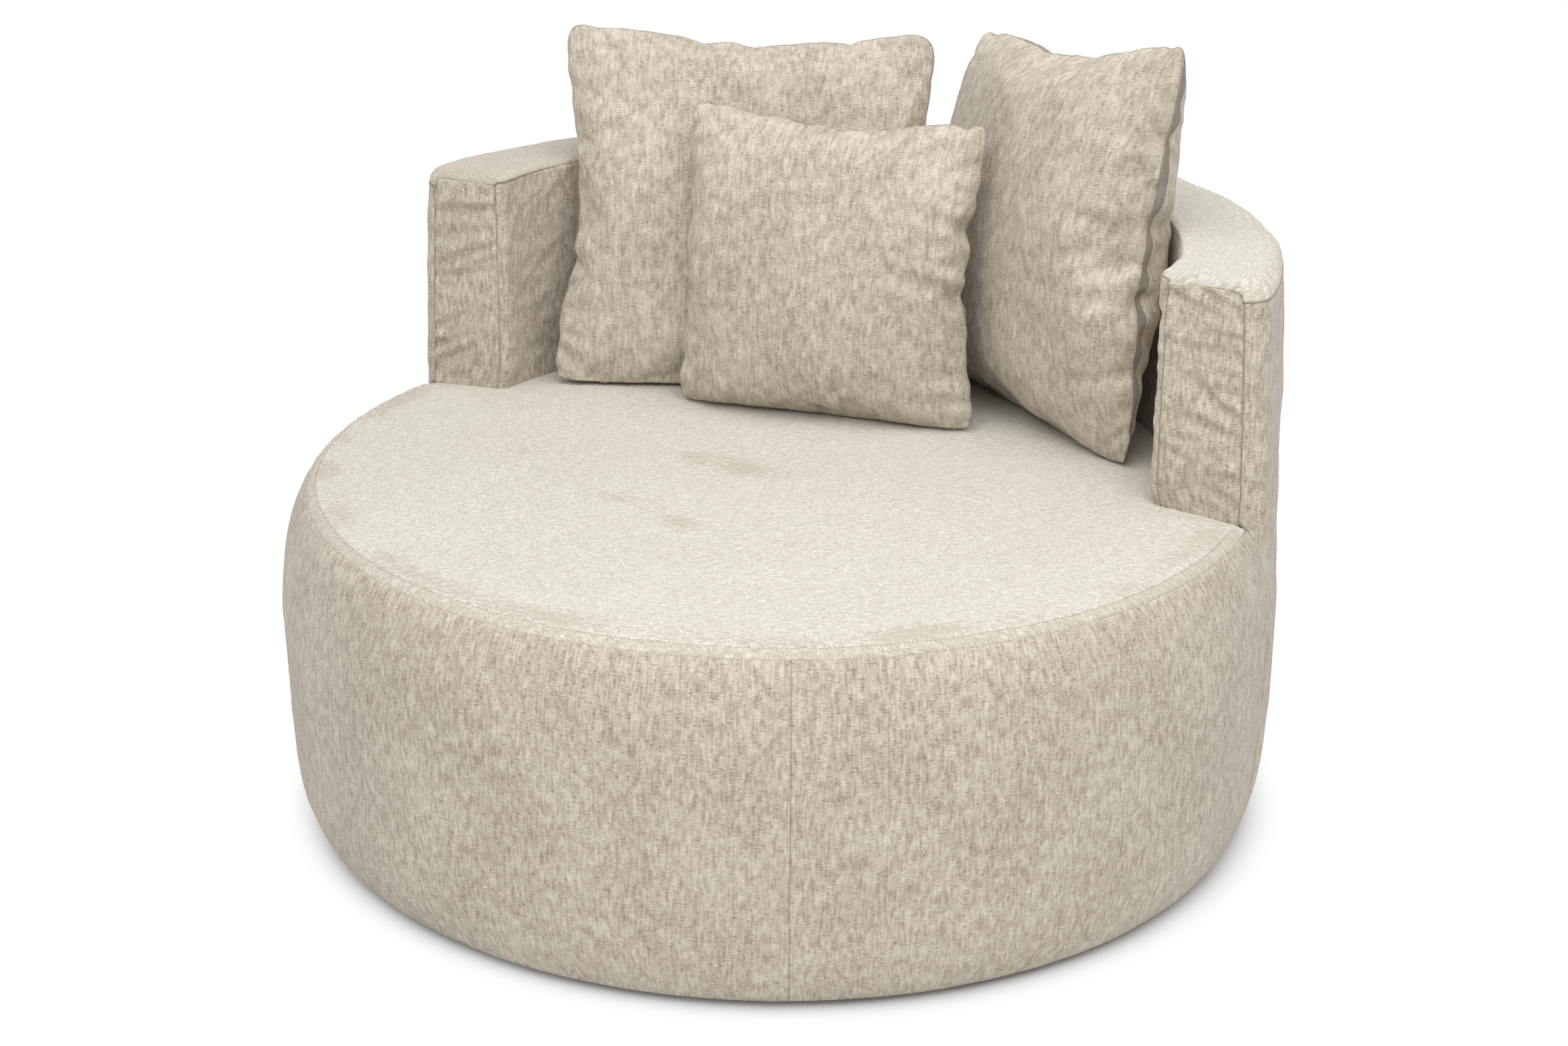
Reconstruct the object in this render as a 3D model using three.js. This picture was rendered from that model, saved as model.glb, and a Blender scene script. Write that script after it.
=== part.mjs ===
// Cuddle chair: a round upholstered drum seat, clasped by a C-shaped back and arms, with three loose scatter cushions.
// Millimetres, +Z up, the front towards -Y. The origin is on the floor under the middle of the footprint.
import * as THREE from "three";

const { PI, abs, asin, atan2, cos, hypot, max, sin, sqrt, tan } = Math;
const rad = THREE.MathUtils.degToRad;
const vec = (x, y, z) => new THREE.Vector3(x, y, z);

// Drum: the round seat base, around the drum axis
const drumRadius = 640; // at the belly
const bellyHeight = 280;
const hemHeight = 12; // lower edge of the covers
const seamHeight = 438; // where the seat panel meets the side panels
const seamTuck = 26; // how far the side leans in from the belly to the top seam
const seamRound = 10; // and how far it rounds in just below that seam
const hemTuck = 12; // the same two towards the hem
const hemRound = 21;
const seatCrown = 16; // rise of the seat from its edge to its middle

// Back and arms: a C-shaped wall, whose circle lies behind the drum axis
const backSetback = 54;
const wallInset = 21.4; // how far its belly lies inside the drum's
const wallThickness = 140.6;
const wallBellyHeight = 300;
const armRise = 303; // from the drum's top seam to the wall's own
const wallLean = 14.6; // how far the outside leans in from the belly to the top seam
const wallHemTuck = 6;
const wallHemRound = 9;
const wallTopCrown = 8; // rise of the top panel between its seams
const armFaceY = 85; // flat front of the arms, behind the drum axis
const armOuterCorner = 32; // radius of the upright edges of the arm's front
const armInnerCorner = 12;
const outerSeamTurn = rad(15); // how far round the outer corner the arm front's seam lies

// Boards, foam and cloth
const plyThickness = 18;
const boardThickness = 5; // bent hardboard of the back
const drumBoardThickness = 4;
const clothThickness = 2.5;
const topperThickness = 8;
const armPadThickness = 16;
const drumPadDepth = 52; // the drum's belly to the board behind its padding
const outerPadDepth = 28.6; // the same outside the back
const innerPadDepth = 27; // and inside it, to that board's far side
const armFaceBow = 1.5; // how far the arm's front cover bows back over its pad
const armUprightThickness = 12;
const fitGap = 0.3; // between pieces that touch
const curveGap = 0.7; // between bent boards and the flat plates inside them
const clothGap = 0.4; // between a cover and the foam under it

// Frame
const glideHeight = 15;
const glideRadius = 14;
const glideHoleMargin = 3;
const glideInset = 108; // middle of a glide from the drum's board
const glideCount = 6;
const seatDepth = 58; // from the drum's top seam to the underside of the plate that carries the springs
const seatRingWidth = 118; // from the drum's board to the plate's hole
const drumBoardDrop = 20; // its upper edge below the drum's top seam
const topRibDrop = 26; // the rib's underside below the wall's top seam
const lowerPostCount = 6;
const lowerPostWidth = 70;
const lowerPostDepth = 45;
const upperPostCount = 5;
const upperPostWidth = 40;
const upperPostMargin = 9.7; // from the top rib's edges
const upperPostSpread = rad(110); // from the first upper post to the last

// Seat springs
const springCount = 5;
const springSpacing = 150;
const springWire = 4;
const springSwing = 24; // half width of the zigzag
const springWaves = 7;
const springBearing = 18; // length of each end that lies on the plate

// Panel seams
const sidePanelSeam = rad(-61.4); // the one upright seam of the drum, right of the front
const seamGap = 0.6;
const cornerSeamGap = 1.5; // where two covers meet at an angle
const baseClothThickness = 1.5;

// Cushions
const cushionCloth = 1.5;
const cushionEdgeInset = 5; // seam allowance inside a cushion's edge
const fillingInset = 12;
const cushionWaist = 12; // how far each side is drawn in at the middle
const zipHalfGap = 3; // half of the way between the lips that hide the zip
const zipTapeHalfWidth = 2.4;
const zipTapeThickness = 1.6;
const zipTapeRise = 3.9; // underside of the tape above the cushion's lower edge
const zipSliderHeight = 3.2;
const zipSliderLength = 10;
const zipSliderHalfWidth = 2.2;
const zipEndMargin = 6; // at each end of the tape
const zipOpenShare = 0.87; // how much of the lower edge the zip's opening takes

// Each cushion: its side, its shift along its own lower edge, the room its ears leave to the back's inside,
// and its swell on each side of its seam
const leftCushionSize = 497;
const leftCushionShift = -102.3;
const leftCushionRoom = 10.3;
const leftCushionFront = 60;
const leftCushionBack = 84;
const smallCushionSize = 408;
const smallCushionShift = -13.7;
const smallCushionLead = 99.3; // how far it stands in front of the left one
const smallCushionFront = 84;
const smallCushionBack = 26;
const rightCushionSize = 511;
const rightCushionShift = -9;
const rightCushionRoom = 17.8;
const rightCushionFront = 98;
const rightCushionBack = 84;
const rightCushionSkew = 30; // rise of its right upper corner, and fall of the left one

// Heights and radii that follow from the sizes above
const wallTopSeam = seamHeight + armRise;
const seatRingHeight = seamHeight - seatDepth;
const drumBoardTop = seamHeight - drumBoardDrop;
const topRibHeight = wallTopSeam - topRibDrop;
const wallOuterRadius = drumRadius - wallInset;
const wallInnerRadius = wallOuterRadius - wallThickness;
const drumBoardRadius = drumRadius - drumPadDepth;
const backBoardRadius = wallOuterRadius - outerPadDepth;
const innerBoardRadius = wallInnerRadius + innerPadDepth;
const springHoleRadius = drumBoardRadius - seatRingWidth;
const glideCircleRadius = drumBoardRadius - glideInset;
const baseTop = glideHeight + plyThickness;
const seatRingTop = seatRingHeight + plyThickness;
const topRibTop = topRibHeight + plyThickness;
const foamBottom = seatRingTop + springWire + 2 * fitGap;
const wrapBottom = glideHeight + fitGap;
const seatSeamTop = seamHeight + fitGap + clothThickness;
const wrapTop = seamHeight - topperThickness;
const seamRadius = drumRadius - seamTuck - seamRound;
const drumCentreY = (drumRadius - backSetback - wallOuterRadius) / 2;
const coverInset = clothThickness + clothGap;
const armPadBack = armFaceY + clothThickness + armFaceBow + armPadThickness;
const boardFront = armPadBack + fitGap; // front edge of the bent back boards and of the arm uprights

// How finely the round pieces are faceted
const arcSteps = 24;
const frontSteps = 32;
const cornerSteps = 4;
const ringHoleSegments = 20;
const glideHoleSegments = 6;
const glideSegments = 16;
const springSegments = 3;
const cushionGrid = 10;
const fillingGrid = 5;
const seatRingShares = [0.35, 0.62, 0.85, 1];
const drumLevelShares = [0.03, 0.1, 0.3, 0.62, 0.8, 0.92];
const upperLevelShares = [0, 0.4, 0.75, 1];
const topPanelShares = [0, 0.15, 0.5, 0.85, 1];
const seatCrownPower = 4;
const roundPower = 8; // how sharply the sides round in at their ends
const mergeSoftness = 5; // softness of the crease where the drum runs into the back
const topArchPower = 3;
const cushionEdgePower = 2.2; // how flat the cushions stay towards their edges

const fabric = new THREE.MeshStandardMaterial({ color: 0xc1b6a6, roughness: 0.95 });
const paleFabric = new THREE.MeshStandardMaterial({ color: 0xe3dfd0, roughness: 0.95 });
const foam = new THREE.MeshStandardMaterial({ color: 0xe9dfb0, roughness: 1 });
const wadding = new THREE.MeshStandardMaterial({ color: 0xf2f2ee, roughness: 1 });
const timber = new THREE.MeshStandardMaterial({ color: 0xc9a677, roughness: 0.8 });
const hardboard = new THREE.MeshStandardMaterial({ color: 0x8a6240, roughness: 0.85 });
const steel = new THREE.MeshStandardMaterial({ color: 0x8d9094, roughness: 0.4, metalness: 0.9 });
const blackPlastic = new THREE.MeshStandardMaterial({ color: 0x1c1c1e, roughness: 0.6 });
const baseCloth = new THREE.MeshStandardMaterial({ color: 0x26262a, roughness: 1 });
const zipNylon = new THREE.MeshStandardMaterial({ color: 0xb9ad9c, roughness: 0.7 });

const chair = new THREE.Group();
chair.position.y = drumCentreY;

function add(name, geometry, material, parent = chair) {
  const mesh = new THREE.Mesh(geometry, material);
  mesh.name = name;
  parent.add(mesh);
  return mesh;
}

// Closed solid from quads and triangles of points, turned so that its faces point out.
function solid(faces) {
  const corners = faces.flatMap(([a, b, c, d]) => (d ? [a, b, c, a, c, d] : [a, b, c]));
  let volume = 0;
  for (let i = 0; i < corners.length; i += 3) {
    volume += corners[i].dot(vec(0, 0, 0).crossVectors(corners[i + 1], corners[i + 2]));
  }
  if (volume < 0) corners.reverse();
  return new THREE.BufferGeometry().setFromPoints(corners);
}

// Solid between two like grids of points, each a list of levels
function between(outer, inner) {
  const faces = [];
  const last = outer.length - 1;
  const end = outer[0].length - 1;
  for (let c = 0; c < end; c++) {
    const d = c + 1;
    for (let r = 0; r < last; r++) {
      faces.push([outer[r][c], outer[r][d], outer[r + 1][d], outer[r + 1][c]]);
      faces.push([inner[r][c], inner[r + 1][c], inner[r + 1][d], inner[r][d]]);
    }
    faces.push([outer[0][c], inner[0][c], inner[0][d], outer[0][d]]);
    faces.push([outer[last][c], outer[last][d], inner[last][d], inner[last][c]]);
  }
  for (let r = 0; r < last; r++) {
    faces.push([outer[r][0], outer[r + 1][0], inner[r + 1][0], inner[r][0]]);
    faces.push([outer[r][end], inner[r][end], inner[r + 1][end], outer[r + 1][end]]);
  }
  return solid(faces);
}

// Domed sheet: its rim, shrunk towards the drum axis in shares, between a top and an underside height.
function domed(rim, top, underside) {
  const sheet = (height) =>
    seatRingShares.map((share) =>
      rim.map((p) => vec(p.x * share, p.y * share, height(hypot(p.x, p.y) * share))),
    );
  const upper = sheet(top);
  const lower = sheet(underside);
  const last = upper.length - 1;
  const faces = [];
  for (let c = 0; c < rim.length; c++) {
    const d = (c + 1) % rim.length;
    faces.push([vec(0, 0, top(0)), upper[0][c], upper[0][d]]);
    faces.push([vec(0, 0, underside(0)), lower[0][d], lower[0][c]]);
    for (let r = 0; r < last; r++) {
      faces.push([upper[r][c], upper[r + 1][c], upper[r + 1][d], upper[r][d]]);
      faces.push([lower[r][c], lower[r][d], lower[r + 1][d], lower[r + 1][c]]);
    }
    faces.push([upper[last][c], lower[last][c], lower[last][d], upper[last][d]]);
  }
  return solid(faces);
}

const span = (from, to, steps) => Array.from({ length: steps + 1 }, (_, i) => from + ((to - from) * i) / steps);
const level = (points, z) => points.map((p) => vec(p.x, p.y, z));
const mirrored = (points) => points.map((p) => vec(-p.x, p.y, p.z)).reverse();
const around = (x, y, radius, angle) => vec(x + radius * cos(angle), y + radius * sin(angle), 0);
const onBack = (radius, angle) => around(0, backSetback, radius, angle);

// Open path moved to its left by a distance.
function offset(points, distance) {
  return points.map((p, i) => {
    const a = points[max(i - 1, 0)];
    const b = points[Math.min(i + 1, points.length - 1)];
    const length = hypot(b.x - a.x, b.y - a.y);
    return vec(p.x - ((b.y - a.y) / length) * distance, p.y + ((b.x - a.x) / length) * distance, p.z);
  });
}

// Radius of the drum's side at a height
function drumSide(z) {
  const rising = z > bellyHeight;
  const share = rising
    ? (z - bellyHeight) / (seamHeight - bellyHeight)
    : (bellyHeight - z) / (bellyHeight - hemHeight);
  const tuck = rising ? seamTuck : hemTuck;
  const round = rising ? seamRound : hemRound;
  return drumRadius - tuck * share ** 2 - round * share ** roundPower;
}

// How far the wall's outside lies inside its belly radius at a height
function wallTuck(z) {
  if (z > wallBellyHeight) return wallLean * ((z - wallBellyHeight) / (wallTopSeam - wallBellyHeight)) ** 2;
  const share = (wallBellyHeight - z) / (wallBellyHeight - hemHeight);
  return wallHemTuck * share ** 2 + wallHemRound * share ** roundPower;
}

const seatSurface = (r) => seatSeamTop + seatCrown * (1 - (r / seamRadius) ** seatCrownPower);

// The two upright edges of an arm's front, as circles that touch the flat front and the wall's round side
const outerCornerY = armFaceY + armOuterCorner;
const outerCornerX = sqrt((wallOuterRadius - armOuterCorner) ** 2 - (outerCornerY - backSetback) ** 2);
const outerArcStart = atan2(outerCornerY - backSetback, outerCornerX);
const innerCornerY = armFaceY + armInnerCorner;
const innerCornerX = sqrt((wallInnerRadius + armInnerCorner) ** 2 - (innerCornerY - backSetback) ** 2);
const innerArcStart = atan2(innerCornerY - backSetback, innerCornerX);

// Plan of the wall's outside, from the right arm's front seam round the back to the left one
const outerCornerArc = span(outerSeamTurn - PI / 2, outerArcStart, cornerSteps);
const outerCornerPath = outerCornerArc.map((a) => around(outerCornerX, outerCornerY, armOuterCorner, a)).slice(0, -1);
const backArc = span(outerArcStart, PI - outerArcStart, arcSteps);
const outerPath = [
  ...outerCornerPath,
  ...backArc.map((a) => onBack(wallOuterRadius, a)),
  ...mirrored(outerCornerPath),
];
const pathAngles = outerPath.map((p) => atan2(p.y - backSetback, p.x));
const drumEndAngle = atan2(outerPath[0].y, outerPath[0].x);

// Plan of the wall's inside, from front to front
const innerCornerArc = span(-PI / 2, innerArcStart - PI, cornerSteps);
const innerCornerPath = innerCornerArc.map((a) => around(innerCornerX, innerCornerY, armInnerCorner, a)).slice(0, -1);
const innerArc = [innerArcStart, ...backArc.slice(1, -1), PI - innerArcStart];
const innerPath = [
  ...innerCornerPath,
  ...innerArc.map((a) => onBack(wallInnerRadius, a)),
  ...mirrored(innerCornerPath),
];

// Outside of the wall at a height: the wall itself, or the drum where that stands proud of it
function wallOutline(z) {
  const drum = z > seamHeight ? 0 : drumSide(z);
  return outerPath.map((p) => {
    const r = hypot(p.x, p.y);
    const wall = r - wallTuck(z);
    const proud = drum ? (wall + drum + hypot(wall - drum, mergeSoftness)) / 2 : wall;
    return vec((p.x * proud) / r, (p.y * proud) / r, z);
  });
}

// Front of the drum, from the left arm to the right one, with the upright panel seam as one of its angles
const leftEndAngle = -PI - drumEndAngle + seamGap / seamRadius;
const rightEndAngle = drumEndAngle - seamGap / seamRadius;
const longSteps = Math.round((frontSteps * (sidePanelSeam - leftEndAngle)) / (rightEndAngle - leftEndAngle));
const longAngles = span(leftEndAngle, sidePanelSeam, longSteps);
const shortAngles = span(sidePanelSeam, rightEndAngle, frontSteps - longSteps);
const frontAngles = [...longAngles, ...shortAngles.slice(1)];

const sideHeight = (share) => hemHeight + share * (seamHeight - hemHeight);
const wrapLevels = [wrapBottom, ...drumLevelShares.map(sideHeight), wrapTop];
const drumLevels = [hemHeight, ...wrapLevels, seamHeight];
const upperWallLevels = (from, to) => upperLevelShares.map((share) => from + share * (to - from));

// Seat plan, kept clear of the arms and of the back: the front arc, then round each arm's face
function seatPlan(frontRadius, clearance) {
  const cornerRadius = armInnerCorner + clearance;
  const faceY = armFaceY - clearance;
  const corner = innerCornerArc.map((a) => around(innerCornerX, innerCornerY, cornerRadius, a)).slice(0, -1);
  const reach = sqrt(max(frontRadius ** 2 - faceY ** 2, 0));
  const right = [vec(Math.min(reach, outerPath[0].x), faceY, 0), vec((reach + innerCornerX) / 2, faceY, 0), ...corner];
  const back = innerArc.map((a) => onBack(wallInnerRadius - clearance, a));
  const front = frontAngles.map((a) => around(0, 0, frontRadius, a));
  if (front.at(-1).y > faceY) return [...front, ...right, ...back, ...mirrored(right)];
  const inFront = front.filter((p) => p.y < faceY - clearance || p.y < 0);
  return [...inFront, ...right, ...back, ...mirrored(right)];
}

// Outline of the frame's plates: the drum's front arc, closed by the back's arc
function platePlan() {
  const drumPlate = drumBoardRadius - drumBoardThickness - curveGap;
  const backPlate = backBoardRadius - boardThickness - curveGap;
  return [...frontAngles.map((a) => around(0, 0, drumPlate, a)), ...backSweep(backPlate, boardFront)];
}

function plate(outline, z, thickness, holes = [], holeSegments = ringHoleSegments) {
  const shape = new THREE.Shape(outline);
  shape.holes = holes.map(([x, y, r]) => new THREE.Path().absarc(x, y, r, 0, 2 * PI, true));
  const options = { depth: thickness, bevelEnabled: false, curveSegments: holeSegments };
  return new THREE.ExtrudeGeometry(shape, options).translate(0, 0, z);
}

// Arc of the back's circle, cut off square at the arm's front, with the steps of an arc of a smaller radius
function backSweep(radius, frontY, smaller = radius) {
  const startAt = (r) => asin((frontY - backSetback) / r);
  const arc = backArc.filter((a) => a > startAt(smaller) && a < PI - startAt(smaller));
  return [startAt(radius), ...arc, PI - startAt(radius)].map((a) => onBack(radius, a));
}

function backRing(outerRadius, innerRadius, frontY, z, top) {
  const outer = backSweep(outerRadius, frontY, innerRadius);
  const inner = backSweep(innerRadius, frontY);
  return between([level(outer, z), level(outer, top)], [level(inner, z), level(inner, top)]);
}

// Frame: base board, the plate for the springs, the rib along the top, and the posts between them
const glidePlaces = span(0, 2 * PI, glideCount).slice(0, -1).map((a) => around(0, 0, glideCircleRadius, a + PI / 6));
add("base_board", plate(platePlan(), glideHeight, plyThickness), timber);
add("seat_ring", plate(platePlan(), seatRingHeight, plyThickness, [[0, 0, springHoleRadius]]), timber);

const ribOuterRadius = backBoardRadius - boardThickness - fitGap;
const ribInnerRadius = innerBoardRadius + fitGap;
const ribFront = boardFront + armUprightThickness + fitGap;
add("top_rib", backRing(ribOuterRadius, ribInnerRadius, ribFront, topRibHeight, topRibTop), timber);

function post(name, angle, centreRadius, centreY, width, depth, bottom, top) {
  const box = new THREE.BoxGeometry(depth, width, top - bottom);
  const mesh = add(name, box, timber);
  mesh.position.set(centreRadius * cos(angle), centreY + centreRadius * sin(angle), (bottom + top) / 2);
  mesh.rotation.z = angle;
}
const lowerPostRadius = (springHoleRadius + drumBoardRadius) / 2;
for (let i = 0; i < lowerPostCount; i++) {
  const angle = PI / 2 + (i * 2 * PI) / lowerPostCount;
  post(`lower_post_${i + 1}`, angle, lowerPostRadius, 0, lowerPostWidth, lowerPostDepth, baseTop, seatRingHeight);
}
const upperPostRadius = (ribOuterRadius + ribInnerRadius) / 2;
const upperPostDepth = ribOuterRadius - ribInnerRadius - 2 * upperPostMargin;
for (let i = 0; i < upperPostCount; i++) {
  const angle = PI / 2 + upperPostSpread * (i / (upperPostCount - 1) - 1 / 2);
  const name = `upper_post_${i + 1}`;
  post(name, angle, upperPostRadius, backSetback, upperPostWidth, upperPostDepth, seatRingTop, topRibHeight);
}

// Arm uprights between the two back boards, and the pads in front of them
const uprightOutsideX = sqrt((backBoardRadius - boardThickness) ** 2 - (ribFront - backSetback) ** 2) - curveGap;
const padOutsideX = outerCornerX - wallLean;
function armBlock(name, fromX, toX, fromY, toY, material) {
  for (const [side, sign] of [["left", -1], ["right", 1]]) {
    const block = new THREE.BoxGeometry(toX - fromX, toY - fromY, topRibTop - seatRingTop);
    const middle = vec((sign * (fromX + toX)) / 2, (fromY + toY) / 2, (topRibTop + seatRingTop) / 2);
    add(`${name}_${side}`, block, material).position.copy(middle);
  }
}
armBlock("arm_upright", ribInnerRadius, uprightOutsideX, boardFront, boardFront + armUprightThickness, timber);
armBlock("arm_front_pad", innerCornerX, padOutsideX, armPadBack - armPadThickness, armPadBack, foam);

// Bent boards: round the drum's front, and outside and inside of the back
const drumBoardAngles = frontAngles.filter((a) => sin(a) * drumBoardRadius < armFaceY - clothThickness);
const drumBoardSweep = (radius) => drumBoardAngles.map((a) => around(0, 0, radius, a));
const drumBoardOuter = drumBoardSweep(drumBoardRadius);
const drumBoardInner = drumBoardSweep(drumBoardRadius - drumBoardThickness);
add(
  "drum_board",
  between(
    [level(drumBoardOuter, baseTop - plyThickness), level(drumBoardOuter, drumBoardTop)],
    [level(drumBoardInner, baseTop - plyThickness), level(drumBoardInner, drumBoardTop)],
  ),
  hardboard,
);
const backBoardInner = backBoardRadius - boardThickness;
add("outer_back_board", backRing(backBoardRadius, backBoardInner, boardFront, glideHeight, topRibTop), hardboard);
const innerBoardInner = innerBoardRadius - boardThickness;
add("inner_back_board", backRing(innerBoardRadius, innerBoardInner, boardFront, seatRingTop, topRibTop), hardboard);

// Zigzag seat springs, lying with both ends on the plate
for (let i = 0; i < springCount; i++) {
  const x = (i - (springCount - 1) / 2) * springSpacing;
  const reach = sqrt(springHoleRadius ** 2 - x ** 2) + springBearing;
  const turns = span(0, 1, 4 * springWaves).map((t) =>
    vec(x + springSwing * sin(2 * PI * springWaves * t), reach * (2 * t - 1), seatRingTop + springWire / 2 + fitGap),
  );
  const wire = new THREE.Shape().absarc(0, 0, springWire / 2, 0, 2 * PI);
  const route = new THREE.CatmullRomCurve3(turns);
  const spring = new THREE.ExtrudeGeometry(wire, { steps: 4 * springWaves, extrudePath: route, curveSegments: springSegments });
  add(`seat_spring_${i + 1}`, spring, steel);
}

// Seat: foam core inside the drum board, wadding over it, and the cover's round panel
const topperTop = (r) => seatSurface(r) - clothThickness - fitGap;
const coreTop = (r) => topperTop(r) - topperThickness - fitGap;
const coreRadius = drumBoardRadius - drumBoardThickness - curveGap;
add("seat_foam", domed(seatPlan(coreRadius, clothGap), coreTop, () => foamBottom), foam);
const topperRadius = seamRadius - clothThickness - clothGap;
const waddingPlan = seatPlan(topperRadius, clothGap);
add("seat_wadding", domed(waddingPlan, topperTop, (r) => coreTop(r) + 2 * fitGap), wadding);
const coverPlan = seatPlan(seamRadius, clothGap);
add("seat_cover", domed(coverPlan, seatSurface, (r) => topperTop(r) + fitGap), paleFabric);

// Padding round the drum's front and round the back
const ring = (angles, radius, z) => angles.map((a) => around(0, 0, radius, a)).map((p) => vec(p.x, p.y, z));
add(
  "drum_wrap",
  between(
    wrapLevels.map((z) => ring(frontAngles, drumSide(z) - coverInset, z)),
    wrapLevels.map((z) => ring(frontAngles, drumBoardRadius + clothGap, z)),
  ),
  foam,
);
add(
  "back_lower_wrap",
  between(
    wrapLevels.map((z) => offset(wallOutline(z), coverInset)),
    wrapLevels.map((z) => level(pathAngles.map((a) => onBack(backBoardRadius + clothGap, a)), z)),
  ),
  foam,
);
const upperWrapStart = outerPath.findIndex((p) => p.y > boardFront);
const upperWrap = (points) => points.slice(upperWrapStart, points.length - upperWrapStart);
const upperWrapLevels = upperWallLevels(seamHeight + 2 * fitGap, topRibTop - fitGap);
add(
  "back_upper_wrap",
  between(
    upperWrapLevels.map((z) => upperWrap(offset(wallOutline(z), coverInset))),
    upperWrapLevels.map((z) => level(upperWrap(pathAngles.map((a) => onBack(backBoardRadius + clothGap, a))), z)),
  ),
  foam,
);
const innerFoamRadius = innerBoardInner - clothGap;
const innerFoamFace = wallInnerRadius + coverInset;
const innerFoam = backRing(innerFoamRadius, innerFoamFace, boardFront, seatRingTop, topRibTop - fitGap);
add("inner_back_foam", innerFoam, foam);

// The wall's top: a crowned strip between the inner and the outer path
const topOuterPath = wallOutline(wallTopSeam);
const archAt = (share) => wallTopCrown * (1 - abs(2 * share - 1) ** topArchPower);
function topStrip(outer, inner, height) {
  return topPanelShares.map((share) =>
    outer.map((p, i) => vec(0, 0, 0).lerpVectors(inner[i], p, share).setZ(height(share))),
  );
}
const topUnderside = (share) => wallTopSeam + fitGap + archAt(share);
add(
  "back_top_cover",
  between(
    topStrip(topOuterPath, innerPath, (share) => topUnderside(share) + clothThickness),
    topStrip(topOuterPath, innerPath, topUnderside),
  ),
  paleFabric,
);
const padOuterPath = offset(topOuterPath, coverInset).map((p) => p.setY(max(p.y, armPadBack - armPadThickness)));
const padInnerPath = offset(innerPath, -coverInset).map((p) => p.setY(max(p.y, armPadBack - armPadThickness)));
add(
  "back_top_pad",
  between(
    topStrip(padOuterPath, padInnerPath, (share) => topUnderside(share) - fitGap),
    topStrip(padOuterPath, padInnerPath, () => topRibTop),
  ),
  foam,
);

// Covers of the drum's side: two panels that meet at the upright seam
function sidePanel(name, angles) {
  add(
    name,
    between(
      drumLevels.map((z) => ring(angles, drumSide(z), z)),
      drumLevels.map((z) => ring(angles, drumSide(z) - clothThickness, z)),
    ),
    fabric,
  );
}
const seamTurn = seamGap / 2 / drumRadius;
sidePanel("drum_side_panel_long", [...longAngles.slice(0, -1), sidePanelSeam - seamTurn]);
sidePanel("drum_side_panel_short", [sidePanelSeam + seamTurn, ...shortAngles.slice(1)]);

// Covers of the back: outside from the hem to the top seam, inside, and the two arm fronts
const outerCoverLevels = [...drumLevels, ...upperWallLevels(seamHeight + mergeSoftness, wallTopSeam)];
add(
  "outer_back_cover",
  between(
    outerCoverLevels.map(wallOutline),
    outerCoverLevels.map((z) => offset(wallOutline(z), clothThickness)),
  ),
  fabric,
);
const innerCoverLevels = [seatRingTop, wallTopSeam];
add(
  "inner_back_cover",
  between(
    innerCoverLevels.map((z) => level(offset(innerPath, -clothThickness), z)),
    innerCoverLevels.map((z) => level(innerPath, z)),
  ),
  fabric,
);
const faceStart = vec(innerCornerX + cornerSeamGap, armFaceY, 0);
function faceRow(wallHeight, height) {
  const corner = wallOutline(wallHeight)[0];
  const end = vec(corner.x - cornerSeamGap, corner.y, 0);
  return topPanelShares.map((share) => vec(0, 0, 0).lerpVectors(faceStart, end, share).setZ(height(share)));
}
const faceRows = [
  faceRow(seamHeight + mergeSoftness, () => wrapTop + fitGap),
  faceRow(wallTopSeam, (share) => wallTopSeam + archAt(share)),
];
for (const [side, turn] of [["left", mirrored], ["right", (points) => points]]) {
  const inside = faceRows.map((row) => turn(offset(row, clothThickness)));
  add(`arm_front_cover_${side}`, between(faceRows.map(turn), inside), fabric);
}

// Underside: a thin cloth with holes for the glides, and the glides
const clothHoles = glidePlaces.map((p) => [p.x, p.y, glideRadius + glideHoleMargin]);
const clothBottom = glideHeight - baseClothThickness;
const clothSheet = plate(platePlan(), clothBottom, baseClothThickness, clothHoles, glideHoleSegments);
add("base_cloth", clothSheet, baseCloth);
glidePlaces.forEach((p, i) => {
  const glide = new THREE.CylinderGeometry(glideRadius, glideRadius, glideHeight, glideSegments).rotateX(PI / 2);
  add(`glide_${i + 1}`, glide.translate(p.x, p.y, glideHeight / 2), blackPlastic);
});

// Cushions. Each stands on its lower edge on the seat and leans back. Its own frame has the lower edge's middle
// as origin, with X along that edge, Y to the back and Z up its middle plane. Skew lifts the right upper corner.
const leftLean = rad(15.5);
const rightLean = rad(6.3);

// How far behind the middle of the back's circle a lower edge lies, when the cushion leans on the back's top seam
function edgeDepth(size, shift, room, lean) {
  const ear = size / 2 + abs(shift);
  return sqrt(max((wallInnerRadius - room) ** 2 - ear ** 2, 0)) - (wallTopSeam - seatSeamTop) * tan(lean);
}
const leftCushionDepth = edgeDepth(leftCushionSize, leftCushionShift, leftCushionRoom, leftLean);
const cushions = [
  {
    name: "left_cushion",
    depth: leftCushionDepth,
    shift: leftCushionShift,
    size: leftCushionSize,
    turn: rad(22),
    lean: leftLean,
    front: leftCushionFront,
    back: leftCushionBack,
    skew: 0,
  },
  {
    name: "small_cushion",
    depth: leftCushionDepth - smallCushionLead,
    shift: smallCushionShift,
    size: smallCushionSize,
    turn: rad(9),
    lean: rad(9),
    front: smallCushionFront,
    back: smallCushionBack,
    skew: 0,
  },
  {
    name: "right_cushion",
    depth: edgeDepth(rightCushionSize, rightCushionShift, rightCushionRoom, rightLean),
    shift: rightCushionShift,
    size: rightCushionSize,
    turn: rad(-37.3),
    lean: rightLean,
    front: rightCushionFront,
    back: rightCushionBack,
    skew: rightCushionSkew,
  },
];

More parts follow.
